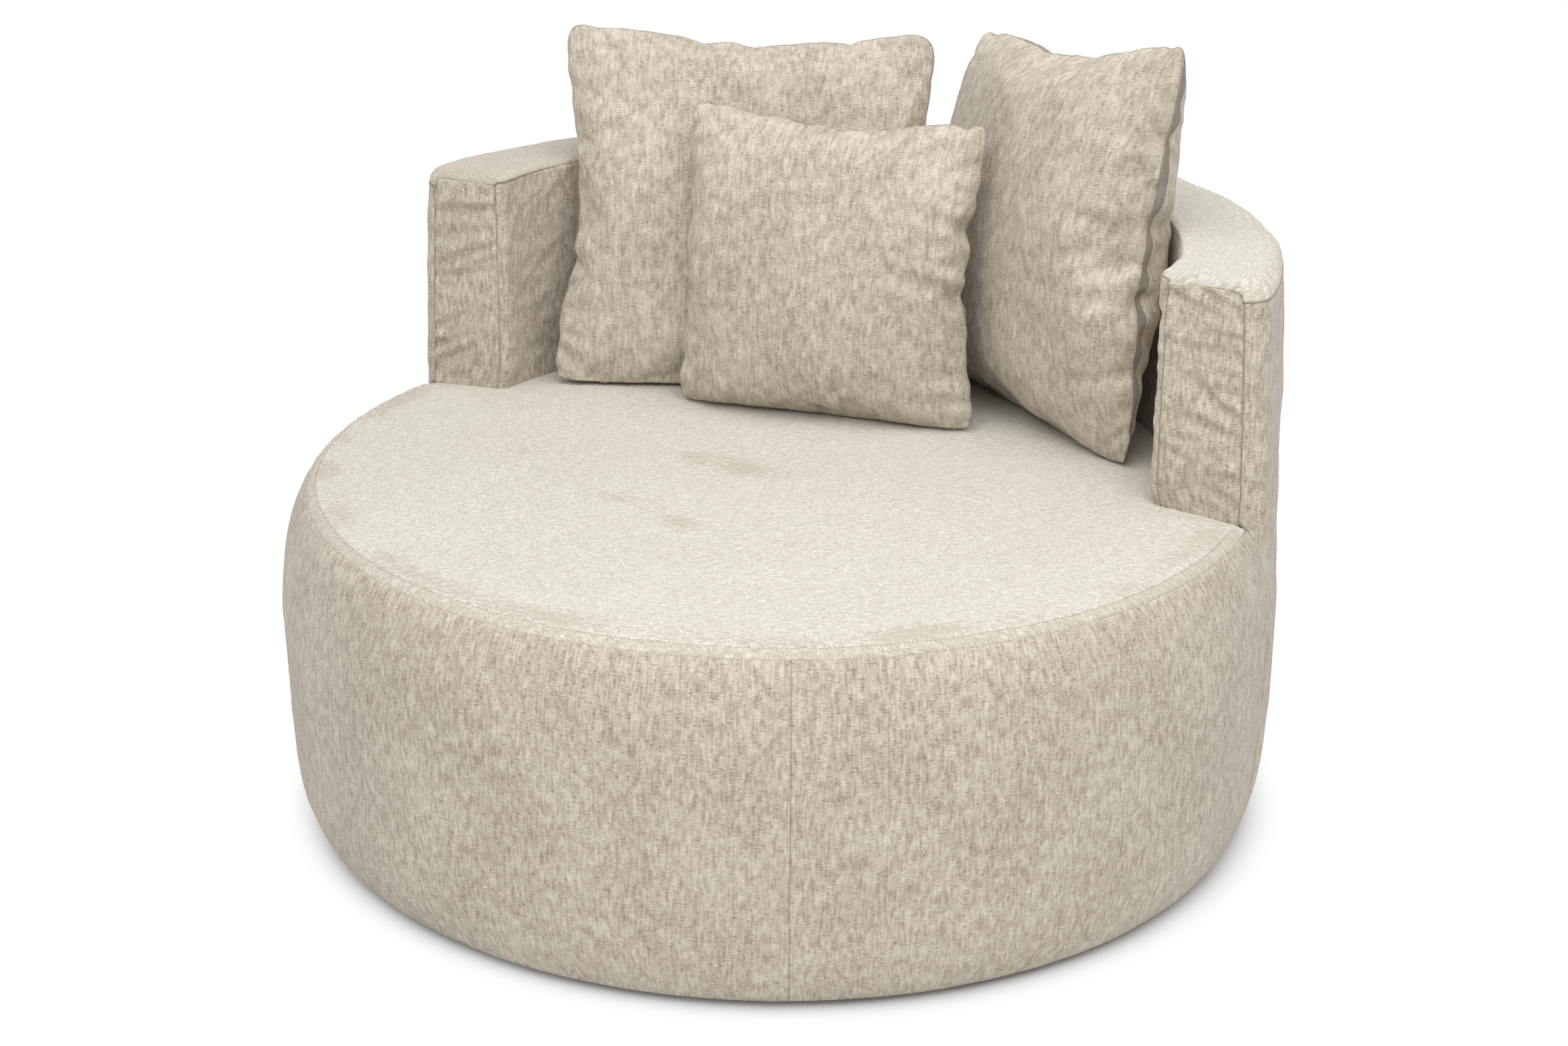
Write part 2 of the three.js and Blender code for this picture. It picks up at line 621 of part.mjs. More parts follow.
// One face of a cushion, as rows of points from the lower edge up, drawn in by an inset all round
function cushionFace(cushion, steps, inset, depth, lipOffset) {
  const shares = span(-1, 1, steps).map((t) => sin((PI / 2) * t));
  const half = cushion.size / 2;
  const shrink = (half - inset) / half;
  return shares.map((v, row) =>
    shares.map((u) => {
      const swell = sqrt(max(0, (1 - abs(u) ** cushionEdgePower) * (1 - abs(v) ** cushionEdgePower)));
      const drawnIn = cushionWaist * (1 - v ** 2);
      const x = (half - drawnIn) * u * shrink;
      const topDip = (cushionWaist * (1 - u ** 2) * (v + 1)) / 2;
      const lift = (cushion.skew * u * (v + 1)) / 2;
      const z = half + (half * v - topDip + lift) * shrink;
      const opened = row === 0 && abs(u) < zipOpenShare - 1e-9;
      return vec(x, opened ? lipOffset : depth * swell, z);
    }),
  );
}

// Skins between rows of points: the same faces either way round
function skin(rows, outward) {
  const faces = [];
  for (let r = 0; r < rows.length - 1; r++) {
    for (let c = 0; c < rows.length - 1; c++) {
      const face = [rows[r][c], rows[r][c + 1], rows[r + 1][c + 1], rows[r + 1][c]];
      faces.push(outward ? face : face.reverse());
    }
  }
  return faces;
}

// Lip of the zip's opening, joining the cloth's outside to its inside
function lip(outside, inside, outward) {
  const faces = [];
  for (let c = 0; c < cushionGrid; c++) {
    if (outside[0][c].y === 0 && outside[0][c + 1].y === 0) continue;
    const face = [outside[0][c + 1], outside[0][c], inside[0][c], inside[0][c + 1]];
    faces.push(outward ? face : face.reverse());
  }
  return faces;
}

for (const cushion of cushions) {
  const group = new THREE.Group();
  const { turn, lean, depth, shift } = cushion;
  const x = shift * cos(turn) - depth * sin(turn);
  const y = backSetback + depth * cos(turn) + shift * sin(turn);
  const lipHalf = zipHalfGap + cushionCloth;
  const nearest = abs(y * cos(turn) - x * sin(turn)) - lipHalf; // drum axis to the lower edge
  group.position.set(x, y, seatSurface(nearest) + fitGap + lipHalf * sin(lean));
  group.rotation.set(-lean, 0, turn, "ZXY");
  chair.add(group);

  const frontOut = cushionFace(cushion, cushionGrid, 0, -cushion.front, -lipHalf);
  const backOut = cushionFace(cushion, cushionGrid, 0, cushion.back, lipHalf);
  const frontIn = cushionFace(cushion, cushionGrid, cushionEdgeInset, cushionCloth - cushion.front, -zipHalfGap);
  const backIn = cushionFace(cushion, cushionGrid, cushionEdgeInset, cushion.back - cushionCloth, zipHalfGap);
  const cover = solid([
    ...skin(frontOut, true),
    ...skin(backOut, false),
    ...skin(frontIn, false),
    ...skin(backIn, true),
    ...lip(frontOut, frontIn, true),
    ...lip(backOut, backIn, false),
  ]);
  add(`${cushion.name}_cover`, cover, fabric, group);

  const fillingDepth = cushionCloth + fitGap;
  const filling = solid([
    ...skin(cushionFace(cushion, fillingGrid, fillingInset, fillingDepth - cushion.front, 0), true),
    ...skin(cushionFace(cushion, fillingGrid, fillingInset, cushion.back - fillingDepth, 0), false),
  ]);
  add(`${cushion.name}_filling`, filling, wadding, group);

  const openHalf = max(...frontOut[0].filter((p) => p.y < 0).map((p) => p.x));
  const tapeLength = 2 * (openHalf - zipEndMargin);
  const tape = new THREE.BoxGeometry(tapeLength, 2 * zipTapeHalfWidth, zipTapeThickness);
  add(`${cushion.name}_zip_tape`, tape, zipNylon, group).position.z = zipTapeRise + zipTapeThickness / 2;

  const slider = new THREE.BoxGeometry(zipSliderLength, 2 * zipSliderHalfWidth, zipSliderHeight);
  const sliderMesh = add(`${cushion.name}_zip_slider`, slider, steel, group);
  sliderMesh.position.set((zipSliderLength - tapeLength) / 2, 0, zipTapeRise - fitGap - zipSliderHeight / 2);
}

export default chair;
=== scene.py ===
import math

import bpy
import numpy as np
from mathutils import Matrix, Vector
from mathutils.bvhtree import BVHTree
from mathutils.kdtree import KDTree


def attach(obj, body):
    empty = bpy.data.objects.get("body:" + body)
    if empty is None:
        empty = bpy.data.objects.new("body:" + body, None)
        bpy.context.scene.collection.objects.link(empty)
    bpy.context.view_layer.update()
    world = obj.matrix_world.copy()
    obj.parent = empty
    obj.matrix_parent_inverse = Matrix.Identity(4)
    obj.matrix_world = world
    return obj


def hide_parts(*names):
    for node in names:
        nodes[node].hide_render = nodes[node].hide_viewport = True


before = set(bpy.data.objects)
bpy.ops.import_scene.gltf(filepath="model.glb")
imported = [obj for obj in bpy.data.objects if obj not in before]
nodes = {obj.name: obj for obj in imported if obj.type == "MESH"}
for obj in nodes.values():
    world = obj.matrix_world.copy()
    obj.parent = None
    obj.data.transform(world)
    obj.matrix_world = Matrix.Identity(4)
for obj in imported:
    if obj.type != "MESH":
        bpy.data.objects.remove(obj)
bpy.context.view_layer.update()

# Camera: a 66 mm lens at the eye height of someone standing, 27 degrees round from the chair's front. Its
# place was worked out from the circle of the seat's seam and the corners of the cushions in the photograph.
photo_width_in_pixels = 2320
focal_length_in_pixels = 4258.92
sensor_width = 36
drum_centre_y = -0.0163
camera_turn = 0.4756
camera_rise = 0.3635
camera_roll = 0.0082
camera_distance = 3.7362
aim_height = 0.3698
aim_aside = 0.004


def new_object(name, data):
    thing = bpy.data.objects.new(name, data)
    bpy.context.scene.collection.objects.link(thing)
    return thing


level_away = Vector((math.sin(camera_turn), -math.cos(camera_turn), 0))
to_camera = level_away * math.cos(camera_rise) + Vector((0, 0, math.sin(camera_rise)))
level_right = Vector((math.cos(camera_turn), math.sin(camera_turn), 0))
level_up = to_camera.cross(level_right)
camera_right = level_right * math.cos(camera_roll) + level_up * math.sin(camera_roll)
camera_up = level_up * math.cos(camera_roll) - level_right * math.sin(camera_roll)
camera_data = bpy.data.cameras.new("camera")
camera_data.lens = focal_length_in_pixels / photo_width_in_pixels * sensor_width
camera_data.sensor_width = sensor_width
camera_data.shift_x = 0.0007
camera_data.shift_y = -0.0014
camera_data.clip_start = 0.05
camera_data.clip_end = 60
camera = new_object("camera", camera_data)
camera_place = level_right * aim_aside + Vector((0, drum_centre_y, aim_height)) + to_camera * camera_distance
camera_axes = Matrix((camera_right, camera_up, to_camera)).transposed()
camera.matrix_world = Matrix.Translation(camera_place) @ camera_axes.to_4x4()
bpy.context.scene.camera = camera


# Upholstery cloth: a short-pile chenille in cream and warm grey, woven with fine upright warp streaks and
# short cream weft flecks. The pile bruises in soft blotches. One more input darkens it for crushed pile and
# for painted shade, as a piece gives it.
def shader_node(tree, kind, **settings):
    node = tree.nodes.new(kind)
    for key, value in settings.items():
        if key in node.inputs:
            node.inputs[key].default_value = value
        else:
            setattr(node, key, value)
    return node


def group_socket(tree, name, way, kind, value=None):
    socket = tree.interface.new_socket(name, in_out=way, socket_type=kind)
    if value is not None:
        socket.default_value = value


def pile_noise(tree, vector, stretch, scale, detail, low, high):
    """Noise over the cloth in metres, stretched along U and V, and spread between two levels to 0..1"""
    mapped = shader_node(tree, "ShaderNodeMapping")
    mapped.inputs["Scale"].default_value = (*stretch, 1)
    noise = shader_node(tree, "ShaderNodeTexNoise", noise_dimensions="3D")
    noise.inputs["Scale"].default_value = scale
    noise.inputs["Detail"].default_value = detail
    spread = shader_node(tree, "ShaderNodeMapRange", interpolation_type="SMOOTHSTEP")
    spread.inputs["From Min"].default_value = low
    spread.inputs["From Max"].default_value = high
    tree.links.new(vector, mapped.inputs["Vector"])
    tree.links.new(mapped.outputs["Vector"], noise.inputs["Vector"])
    tree.links.new(noise.outputs["Fac"], spread.inputs["Value"])
    return spread.outputs["Result"]


def joined(tree, operation, first, second):
    """A calculation with two numbers or sockets"""
    node = shader_node(tree, "ShaderNodeMath", operation=operation)
    for socket, value in zip(node.inputs, (first, second)):
        if isinstance(value, (int, float)):
            socket.default_value = value
        else:
            tree.links.new(value, socket)
    return node.outputs[0]


def tinted(tree, fac, first, second):
    """A mix of two colours"""
    node = shader_node(tree, "ShaderNodeMix", data_type="RGBA")
    for socket, value in zip((node.inputs[0], node.inputs[6], node.inputs[7]), (fac, first, second)):
        if isinstance(value, (int, float, tuple)):
            socket.default_value = value
        else:
            tree.links.new(value, socket)
    return node.outputs[2]


def new_finish(name):
    """A new material, with its node tree and its surface shader"""
    material = bpy.data.materials.new(name)
    material.use_nodes = True
    return material, material.node_tree, material.node_tree.nodes["Principled BSDF"]


def raised(tree, surface, height, strength, distance):
    """Relief of a surface by a height"""
    bump = shader_node(tree, "ShaderNodeBump", Strength=strength, Distance=distance)
    tree.links.new(height, bump.inputs["Height"])
    tree.links.new(bump.outputs["Normal"], surface.inputs["Normal"])


def swing(noise, share):
    """How much a noise lightens or darkens the pile"""
    return joined(pile, "MULTIPLY", joined(pile, "SUBTRACT", noise, 0.5), share)


pile = bpy.data.node_groups.new("chenille pile", "ShaderNodeTree")
group_socket(pile, "Vector", "INPUT", "NodeSocketVector")
group_socket(pile, "Pale", "INPUT", "NodeSocketColor", (0.75, 0.7, 0.6, 1))
group_socket(pile, "Deep", "INPUT", "NodeSocketColor", (0.4, 0.34, 0.27, 1))
group_socket(pile, "Heather", "INPUT", "NodeSocketFloat", 1.0)
group_socket(pile, "Bruising", "INPUT", "NodeSocketFloat", 1.0)
group_socket(pile, "Crush and shade", "INPUT", "NodeSocketFloat", 0.0)
group_socket(pile, "Color", "OUTPUT", "NodeSocketColor")
group_socket(pile, "Height", "OUTPUT", "NodeSocketFloat")
group_socket(pile, "Roughness", "OUTPUT", "NodeSocketFloat")
pile_in = shader_node(pile, "NodeGroupInput")
pile_out = shader_node(pile, "NodeGroupOutput")
pile_vector = pile_in.outputs["Vector"]
warp_streaks = pile_noise(pile, pile_vector, (1, 0.11), 360, 3, 0.33, 0.67)
weft_flecks = pile_noise(pile, pile_vector, (0.22, 1), 600, 2, 0.5, 0.66)
weft_gaps = pile_noise(pile, pile_vector, (0.3, 1), 470, 2, 0.54, 0.72)
short_streaks = pile_noise(pile, pile_vector, (1, 0.38), 190, 3, 0.35, 0.65)
blotches = pile_noise(pile, pile_vector, (1, 0.7), 70, 4, 0.32, 0.68)
crushing = pile_noise(pile, pile_vector, (1, 0.8), 9, 4, 0.36, 0.7)
ragged = pile_noise(pile, pile_vector, (1, 0.6), 105, 6, 0.3, 0.7)
fleck_share = joined(pile, "MULTIPLY", joined(pile, "SUBTRACT", weft_flecks, weft_gaps), 0.36)
fine_share = joined(pile, "ADD", swing(warp_streaks, 0.3), fleck_share)
fine_share = joined(pile, "ADD", fine_share, swing(short_streaks, 0.27))
fine_share = joined(pile, "MULTIPLY", fine_share, pile_in.outputs["Heather"])
broad_share = joined(pile, "ADD", swing(blotches, 0.24), swing(crushing, 0.14))
broad_share = joined(pile, "MULTIPLY", broad_share, pile_in.outputs["Bruising"])
# Darkening by the crush-and-shade input: crushed pile, and painted shade where a piece carries it.
crush_and_shade_darkening = joined(pile, "ADD", joined(pile, "MULTIPLY", pile_in.outputs["Crush and shade"], 1.5), ragged)
crush_and_shade_darkening = joined(pile, "MULTIPLY", joined(pile, "SUBTRACT", crush_and_shade_darkening, 1.0), 1.3)
crush_and_shade_darkening.node.use_clamp = True
pale_share = joined(pile, "ADD", joined(pile, "ADD", fine_share, broad_share), 0.5)
pale_share = joined(pile, "SUBTRACT", pale_share, joined(pile, "MULTIPLY", crush_and_shade_darkening, 0.62))
pale_share.node.use_clamp = True
pile_colour = tinted(pile, pale_share, pile_in.outputs["Deep"], pile_in.outputs["Pale"])
pile.links.new(pile_colour, pile_out.inputs["Color"])
pile_height = joined(pile, "MULTIPLY", fine_share, 1.6)
pile_height = joined(pile, "ADD", pile_height, joined(pile, "MULTIPLY", blotches, 0.7))
pile.links.new(pile_height, pile_out.inputs["Height"])
pile_roughness = joined(pile, "SUBTRACT", 0.98, joined(pile, "MULTIPLY", pale_share, 0.16))
pile.links.new(pile_roughness, pile_out.inputs["Roughness"])


def chenille(name, pale, deep, heather=1.0, bruising=1.0, sheen=0.25, relief=0.0006, turn=0.0, shorter=1.0):
    """The chair's cloth on a piece with its own UV map in metres, U across the warp and V along it"""
    material, tree, surface = new_finish(name)
    place = shader_node(tree, "ShaderNodeUVMap", uv_map="cloth")
    turned = shader_node(tree, "ShaderNodeMapping")
    turned.inputs["Rotation"].default_value = (0, 0, turn)
    turned.inputs["Scale"].default_value = (1, shorter, 1)
    crush_and_shade_attribute = shader_node(tree, "ShaderNodeAttribute", attribute_name="crush_and_shade")
    cloth = shader_node(tree, "ShaderNodeGroup", node_tree=pile)
    cloth.inputs["Pale"].default_value = (*pale, 1)
    cloth.inputs["Deep"].default_value = (*deep, 1)
    cloth.inputs["Heather"].default_value = heather
    cloth.inputs["Bruising"].default_value = bruising
    tree.links.new(place.outputs["UV"], turned.inputs["Vector"])
    tree.links.new(turned.outputs["Vector"], cloth.inputs["Vector"])
    tree.links.new(crush_and_shade_attribute.outputs["Fac"], cloth.inputs["Crush and shade"])
    tree.links.new(cloth.outputs["Color"], surface.inputs["Base Color"])
    tree.links.new(cloth.outputs["Roughness"], surface.inputs["Roughness"])
    raised(tree, surface, cloth.outputs["Height"], 1.0, relief)
    surface.inputs["Specular IOR Level"].default_value = 0.15
    surface.inputs["Sheen Weight"].default_value = sheen
    surface.inputs["Sheen Roughness"].default_value = 0.45
    surface.inputs["Sheen Tint"].default_value = (1, 0.97, 0.9, 1)
    return material


side_cloth = chenille("chenille of the upright covers", (0.7, 0.64, 0.545), (0.3, 0.24, 0.185))
# The level covers: the same cloth as the upright covers, painted paler as painted light from the lamp above.
lit_flat_cloth = chenille(
    "chenille painted lit for the level covers",
    (0.875, 0.852, 0.768),
    (0.62, 0.555, 0.465),
    heather=1.3,
    bruising=0.5,
    sheen=0.3,
    relief=0.0008,
    turn=math.radians(38),
    shorter=2.2,
)

# Side of the drum: two panels of the cloth, sewn to each other by one upright seam right of the front and to
# the seat panel along the top. They are drawn over the foam wrap and stapled under the drum board's lower
# edge.
drum_radius = 0.640
belly_height = 0.280
hem_height = 0.012
seam_height = 0.438
seam_radius = 0.604
back_setback = 0.054
side_seam_turn = math.radians(-61.4)
drum_end_turn = math.radians(8.28)
cloth_thickness = 0.0025


def drum_side(z):
    """Radius of the side at a height: it leans in from the belly and rounds in at the hem and the seam"""
    up = np.clip((z - belly_height) / (seam_height - belly_height), 0, 1)
    down = np.clip((belly_height - z) / (belly_height - hem_height), 0, 1)
    return drum_radius - 0.026 * up**2 - 0.010 * up**8 - 0.012 * down**2 - 0.021 * down**8


def eased(share):
    return share * share * (3 - 2 * share)


def sewn_steps(length, step=0.0054):
    """Distances from 0 to a length at about a step, drawn close together at both sewn ends"""
    close = np.array([0, 0.0006, 0.0014, 0.0024, 0.0036, 0.0052, 0.0074])
    middle = np.linspace(0.0105, length - 0.0105, max(int((length - 0.021) / step), 2))
    return np.concatenate([close, middle, (length - close)[::-1]])


def tucked(distance, reach=0.0045, depth=0.0022):
    """How far a sewn edge rolls in towards its seam, by the distance from that seam"""
    share = np.clip(1 - distance / reach, 0, 1)
    return depth * (1 - np.sqrt(1 - share**2))


def gathers(along, away, seed, depth=0.0011, reach=0.016, pitch=0.012):
    """Small gathers that the stitching draws into the cloth, square to the seam and dying out away from it"""
    draw = np.random.default_rng(seed)
    count = int(np.max(along) / pitch) + 4
    rises = draw.uniform(-1, 1, count)
    reaches = reach * draw.uniform(0.5, 2.2, count)
    place = along / pitch
    step = np.floor(place).astype(int)
    share = eased(place - step)
    rise = rises[step] * (1 - share) + rises[step + 1] * share
    spread = reaches[step] * (1 - share) + reaches[step + 1] * share
    return depth * rise * np.exp(-((away / spread) ** 2)) * np.clip(away / 0.004, 0.35, 1)


def creases(across, up, seed, count, slant, length, width, depth, box):
    """Single soft folds laid across a panel at a slant, each with its own place, length and depth"""
    draw = np.random.default_rng(seed)
    total = np.zeros(np.broadcast(across, up).shape)
    for _ in range(count):
        x = draw.uniform(box[0], box[1])
        y = draw.uniform(box[2], box[3])
        turn = slant + draw.normal(0, 0.18)
        long = length * draw.uniform(0.5, 1.4)
        wide = width * draw.uniform(0.7, 1.4)
        along = (across - x) * math.cos(turn) + (up - y) * math.sin(turn)
        beside = (up - y) * math.cos(turn) - (across - x) * math.sin(turn)
        beside = beside + 0.25 * wide * np.sin(along / (0.18 * length) + x * 90)
        taper = np.exp(-((along / (0.5 * long)) ** 4))
        fold = np.exp(-((beside / wide) ** 2)) - 0.55 * np.exp(-(((beside - 1.9 * wide) / (1.3 * wide)) ** 2))
        total -= depth * draw.uniform(0.5, 1.2) * taper * fold
    return total


def waves(points, length, seed):
    """Soft unevenness of a drawn-over cloth, about -1 to 1, with waves of about the given length"""
    count = 24
    draw = np.random.default_rng(seed)
    total = np.zeros(points.shape[:-1])
    for _ in range(count):
        way = draw.normal(0, 1, 3)
        way /= np.linalg.norm(way)
        pitch = length * draw.uniform(0.7, 1.6)
        total += np.sin(points @ way * 2 * math.pi / pitch + draw.uniform(0, 6.28))
    return total / math.sqrt(count)


def outward(grid):
    """Unit normals of a grid of points, rows up and columns counterclockwise round the chair"""
    normal = np.cross(np.gradient(grid, axis=1), np.gradient(grid, axis=0))
    return normal / np.maximum(np.linalg.norm(normal, axis=-1, keepdims=True), 1e-12)


def closed_piece(name, points, faces, flat, material, crush_and_shade=None):
    """Mesh object from points, faces, the cloth's UV in metres, and how far the pile is darkened by crushing
    and painted shade
    """
    mesh = bpy.data.meshes.new(name)
    mesh.from_pydata(points.tolist(), [], faces)
    mesh.polygons.foreach_set("use_smooth", [True] * len(mesh.polygons))
    corners = np.empty(len(mesh.loops), dtype=np.int32)
    mesh.loops.foreach_get("vertex_index", corners)
    layer = mesh.uv_layers.new(name="cloth")
    layer.data.foreach_set("uv", flat[corners].ravel())
    crush_and_shade_layer = mesh.attributes.new("crush_and_shade", "FLOAT", "POINT")
    crush_and_shade_layer.data.foreach_set("value", np.zeros(len(points)) if crush_and_shade is None else crush_and_shade)
    mesh.materials.append(material)
    return new_object(name, mesh)


def grid_quads(at, turned=False):
    """Faces between the rows and columns of a grid of point numbers, or the same faces turned over"""
    corners = [at[:-1, :-1], at[:-1, 1:], at[1:, 1:], at[1:, :-1]]
    if turned:
        corners = [corners[0], corners[3], corners[2], corners[1]]
    return np.stack(corners, -1).reshape(-1, 4).tolist()


def laid_over(face, ways, *carriers):
    """A cover's face, lifted where it would cut into the foam, wadding or board that carries it"""
    at = face + (0, drum_centre_y, 0)
    lift = np.zeros(face.shape[:2])
    for carrier in carriers:
        mesh = nodes[carrier].data
        form = BVHTree.FromPolygons([v.co for v in mesh.vertices], [tuple(p.vertices) for p in mesh.polygons])
        for index in np.ndindex(*lift.shape):
            way = Vector(ways[index])
            place, normal, _, distance = form.ray_cast(Vector(at[index]), way, 0.006)
            if place is not None and normal.dot(way) > 0:
                lift[index] = max(lift[index], distance + 0.0003)
    spread = lift.copy()
    spread[1:-1, 1:-1] = (lift[:-2, 1:-1] + lift[2:, 1:-1] + lift[1:-1, :-2] + lift[1:-1, 2:]) / 4
    return face + ways * np.maximum(lift, spread)[..., None]


def cloth_panel(name, face, base, uv, back_rows, material, carriers=(), crush_and_shade=None):
    """Closed sheet of cloth between its finely shaped face and a plainer back behind the base form"""
    face = laid_over(face, outward(base), *carriers)
    rows, columns = face.shape[:2]
    back_rows = sorted({int(round(share * (rows - 1))) for share in back_rows})
    back = (base - outward(base) * cloth_thickness)[back_rows]
    front_at = np.arange(rows * columns).reshape(rows, columns)
    back_at = rows * columns + np.arange(len(back_rows) * columns).reshape(len(back_rows), columns)
    faces = grid_quads(front_at) + grid_quads(back_at, turned=True)
    front_at = front_at.tolist()
    back_at = back_at.tolist()
    for c in range(columns - 1):
        faces.append((front_at[0][c + 1], front_at[0][c], back_at[0][c], back_at[0][c + 1]))
        faces.append((front_at[-1][c], front_at[-1][c + 1], back_at[-1][c + 1], back_at[-1][c]))
    for k in range(len(back_rows) - 1):
        between = front_at[back_rows[k] : back_rows[k + 1] + 1]
        faces.append([row[0] for row in between] + [back_at[k + 1][0], back_at[k][0]])
        faces.append([row[-1] for row in between[::-1]] + [back_at[k][-1], back_at[k + 1][-1]])
    points = np.concatenate([face.reshape(-1, 3), back.reshape(-1, 3)])
    points[:, 1] += drum_centre_y
    flat = np.concatenate([uv.reshape(-1, 2), uv[back_rows].reshape(-1, 2)])
    crush_and_shade_attribute = None if crush_and_shade is None else np.concatenate([crush_and_shade.ravel(), crush_and_shade[back_rows].ravel()])
    return closed_piece(name, points, faces, flat, material, crush_and_shade_attribute)


def sewn_cover(panel, *replaced):
    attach(panel, "chair")
    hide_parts(*replaced)


hem_turn = [(0.5895, 0.0146), (0.596, 0.0128), (0.602, 0.0117)]
hem_back_shares = [0, 0.012, 0.024, 0.036, 0.06, 0.1, 0.16, 0.3, 0.5, 0.65, 0.8, 0.88, 0.94, 0.97, 1]


def drum_panel(name, first, last, seed, whole_seam_first, node):
    """Panel of the drum's side between two angles, with its hem turned in under the board"""
    turns = first + sewn_steps((last - first) * drum_radius) / drum_radius
    upright = np.linspace(hem_height, 0.424, 76)
    upright = np.concatenate([upright, seam_height - 0.0105 * np.linspace(1, 0, 9)[1:]])
    radius = np.concatenate([[r for r, _ in hem_turn], drum_side(upright)])
    height = np.concatenate([[z for _, z in hem_turn], upright])
    level = np.broadcast_to(height[:, None], (len(height), len(turns)))
    base = np.stack([radius[:, None] * np.cos(turns), radius[:, None] * np.sin(turns), level], -1)
    run = np.concatenate([[0], np.cumsum(np.hypot(np.diff(radius), np.diff(height)))])[:, None] + 0 * level
    below_seam = run[-1:] - run
    from_first = (turns - first)[None, :] * drum_radius + 0 * level
    from_last = (last - turns)[None, :] * drum_radius + 0 * level
    from_upright_seam = from_first if whole_seam_first else from_last
    rolled = np.maximum(tucked(below_seam, 0.005, 0.0037), tucked(from_upright_seam, 0.003, 0.0015))
    drawn = gathers(from_first, below_seam, seed, depth=0.0009, reach=0.013, pitch=0.009) - rolled
    drawn += gathers(run, from_upright_seam, seed + 5, depth=0.0006, reach=0.012, pitch=0.01)
    slack = 0.0011 * waves(base, 0.16, seed + 1) + 0.0005 * waves(base, 0.05, seed + 2)
    drawn += slack * np.clip(below_seam / 0.04, 0.1, 1)
    drawn *= np.clip((run - 0.012) / 0.02, 0, 1)
    face = base + outward(base) * drawn[..., None]
    flat = np.stack([turns[None, :] * drum_radius + 0 * level, run], -1)
    carriers = ("drum_wrap", "seat_wadding")
    sewn_cover(cloth_panel(name, face, base, flat, hem_back_shares, side_cloth, carriers), node)


left_end = -math.pi - drum_end_turn
seam_opening = 0.0001 / drum_radius
seam_left = side_seam_turn - seam_opening
seam_right = side_seam_turn + seam_opening
drum_panel("drum_side_cloth_long", left_end, seam_left, 11, False, "drum_side_panel_long")
drum_panel("drum_side_cloth_short", seam_right, drum_end_turn, 12, True, "drum_side_panel_short")

# Seat panel: the round top of the seat in the same cloth, painted paler as painted light on its level face,
# over foam and wadding. It is sewn to the drum's side, with a topstitched band along the front, and ends in
# the gap before the arms and the back. Its front edge is darkened for worn pile and for painted shade. Each
# brushed spot has its middle's place, its half width and half depth, and how dark it is.
wall_outer_radius = 0.6186
wall_inner_radius = 0.478
arm_face_y = 0.085
inner_corner_radius = 0.012
inner_corner_y = arm_face_y + inner_corner_radius
inner_corner_ahead = inner_corner_y - back_setback
inner_corner_x = math.sqrt((wall_inner_radius + inner_corner_radius) ** 2 - inner_corner_ahead**2)
inner_corner_start = math.atan2(inner_corner_ahead, inner_corner_x)
seat_seam_top = 0.4408
seat_crown = 0.016
seat_gap = 0.0005
rim_count = 720
band_width = 0.0115
edge_loft = 0.0062
brushed_spots = [
    (-0.045, -0.045, 0.105, 0.042, 0.8),
    (-0.005, -0.262, 0.05, 0.026, 0.76),
    (-0.105, -0.235, 0.045, 0.022, 0.84),
    (-0.3, -0.13, 0.2, 0.09, 0.36),
    (0.12, -0.36, 0.2, 0.05, 0.22),
]


def seat_surface(radius):
    return seat_seam_top + seat_crown * (1 - (radius / seam_radius) ** 4)


def arc_points(x, y, radius, first, last, step=0.001):
    turns = np.linspace(first, last, max(int(abs(last - first) * radius / step), 4))
    return np.stack([x + radius * np.cos(turns), y + radius * np.sin(turns)], -1)


def run_along(path):
    return np.concatenate([[0], np.cumsum(np.hypot(*np.diff(path, axis=0).T))])


def placed_along(path, at):
    """Points of a path at given distances from its start"""
    run = run_along(path)
    return np.stack([np.interp(at, run, path[:, 0]), np.interp(at, run, path[:, 1])], -1)


right_of_arm = arc_points(
    inner_corner_x, inner_corner_y, inner_corner_radius + seat_gap, -math.pi / 2, inner_corner_start - math.pi
)
front_end = math.asin((arm_face_y - seat_gap) / seam_radius)
inside_end = math.pi - inner_corner_start
seat_rim = np.concatenate(
    [
        arc_points(0, 0, seam_radius, -math.pi - front_end, front_end),
        right_of_arm,
        arc_points(0, back_setback, wall_inner_radius - seat_gap, inner_corner_start, inside_end),
        right_of_arm[::-1] * (-1, 1),
    ]
)
seat_rim = np.concatenate([seat_rim, seat_rim[:1]])
seat_rim = placed_along(seat_rim, np.linspace(0, run_along(seat_rim)[-1], rim_count + 1)[:-1])
softening = np.exp(-((np.minimum(np.arange(rim_count), rim_count - np.arange(rim_count)) / 0.9) ** 2))
softening = np.fft.fft(softening / softening.sum())[:, None]
seat_rim = np.real(np.fft.ifft(np.fft.fft(seat_rim, axis=0) * softening, axis=0))
rim_run = run_along(seat_rim)
inset = np.concatenate(
    [
        [0, 0.0005, 0.0012, 0.0022, 0.0035, 0.0052, 0.007, 0.0085],
        np.arange(0.0095, 0.0145, 0.0005),
        np.arange(0.0155, 0.04, 0.0028),
        np.linspace(0.043, 0.597, 62),
    ]
)
shares = 1 - inset / seam_radius
seat_plan = seat_rim[None, :, :] * shares[:, None, None]
seat_radius = np.hypot(seat_plan[..., 0], seat_plan[..., 1])
rim_radius = np.hypot(seat_rim[:, 0], seat_rim[:, 1])
from_rim = (1 - shares)[:, None] * rim_radius[None, :]
front_part = np.clip((0.079 - seat_rim[:, 1]) / 0.02, 0, 1) * np.clip((rim_radius - 0.59) / 0.01, 0, 1)
front_part = np.broadcast_to(front_part, seat_radius.shape)
seat_spread = np.concatenate([seat_plan, 0 * seat_radius[..., None]], -1)
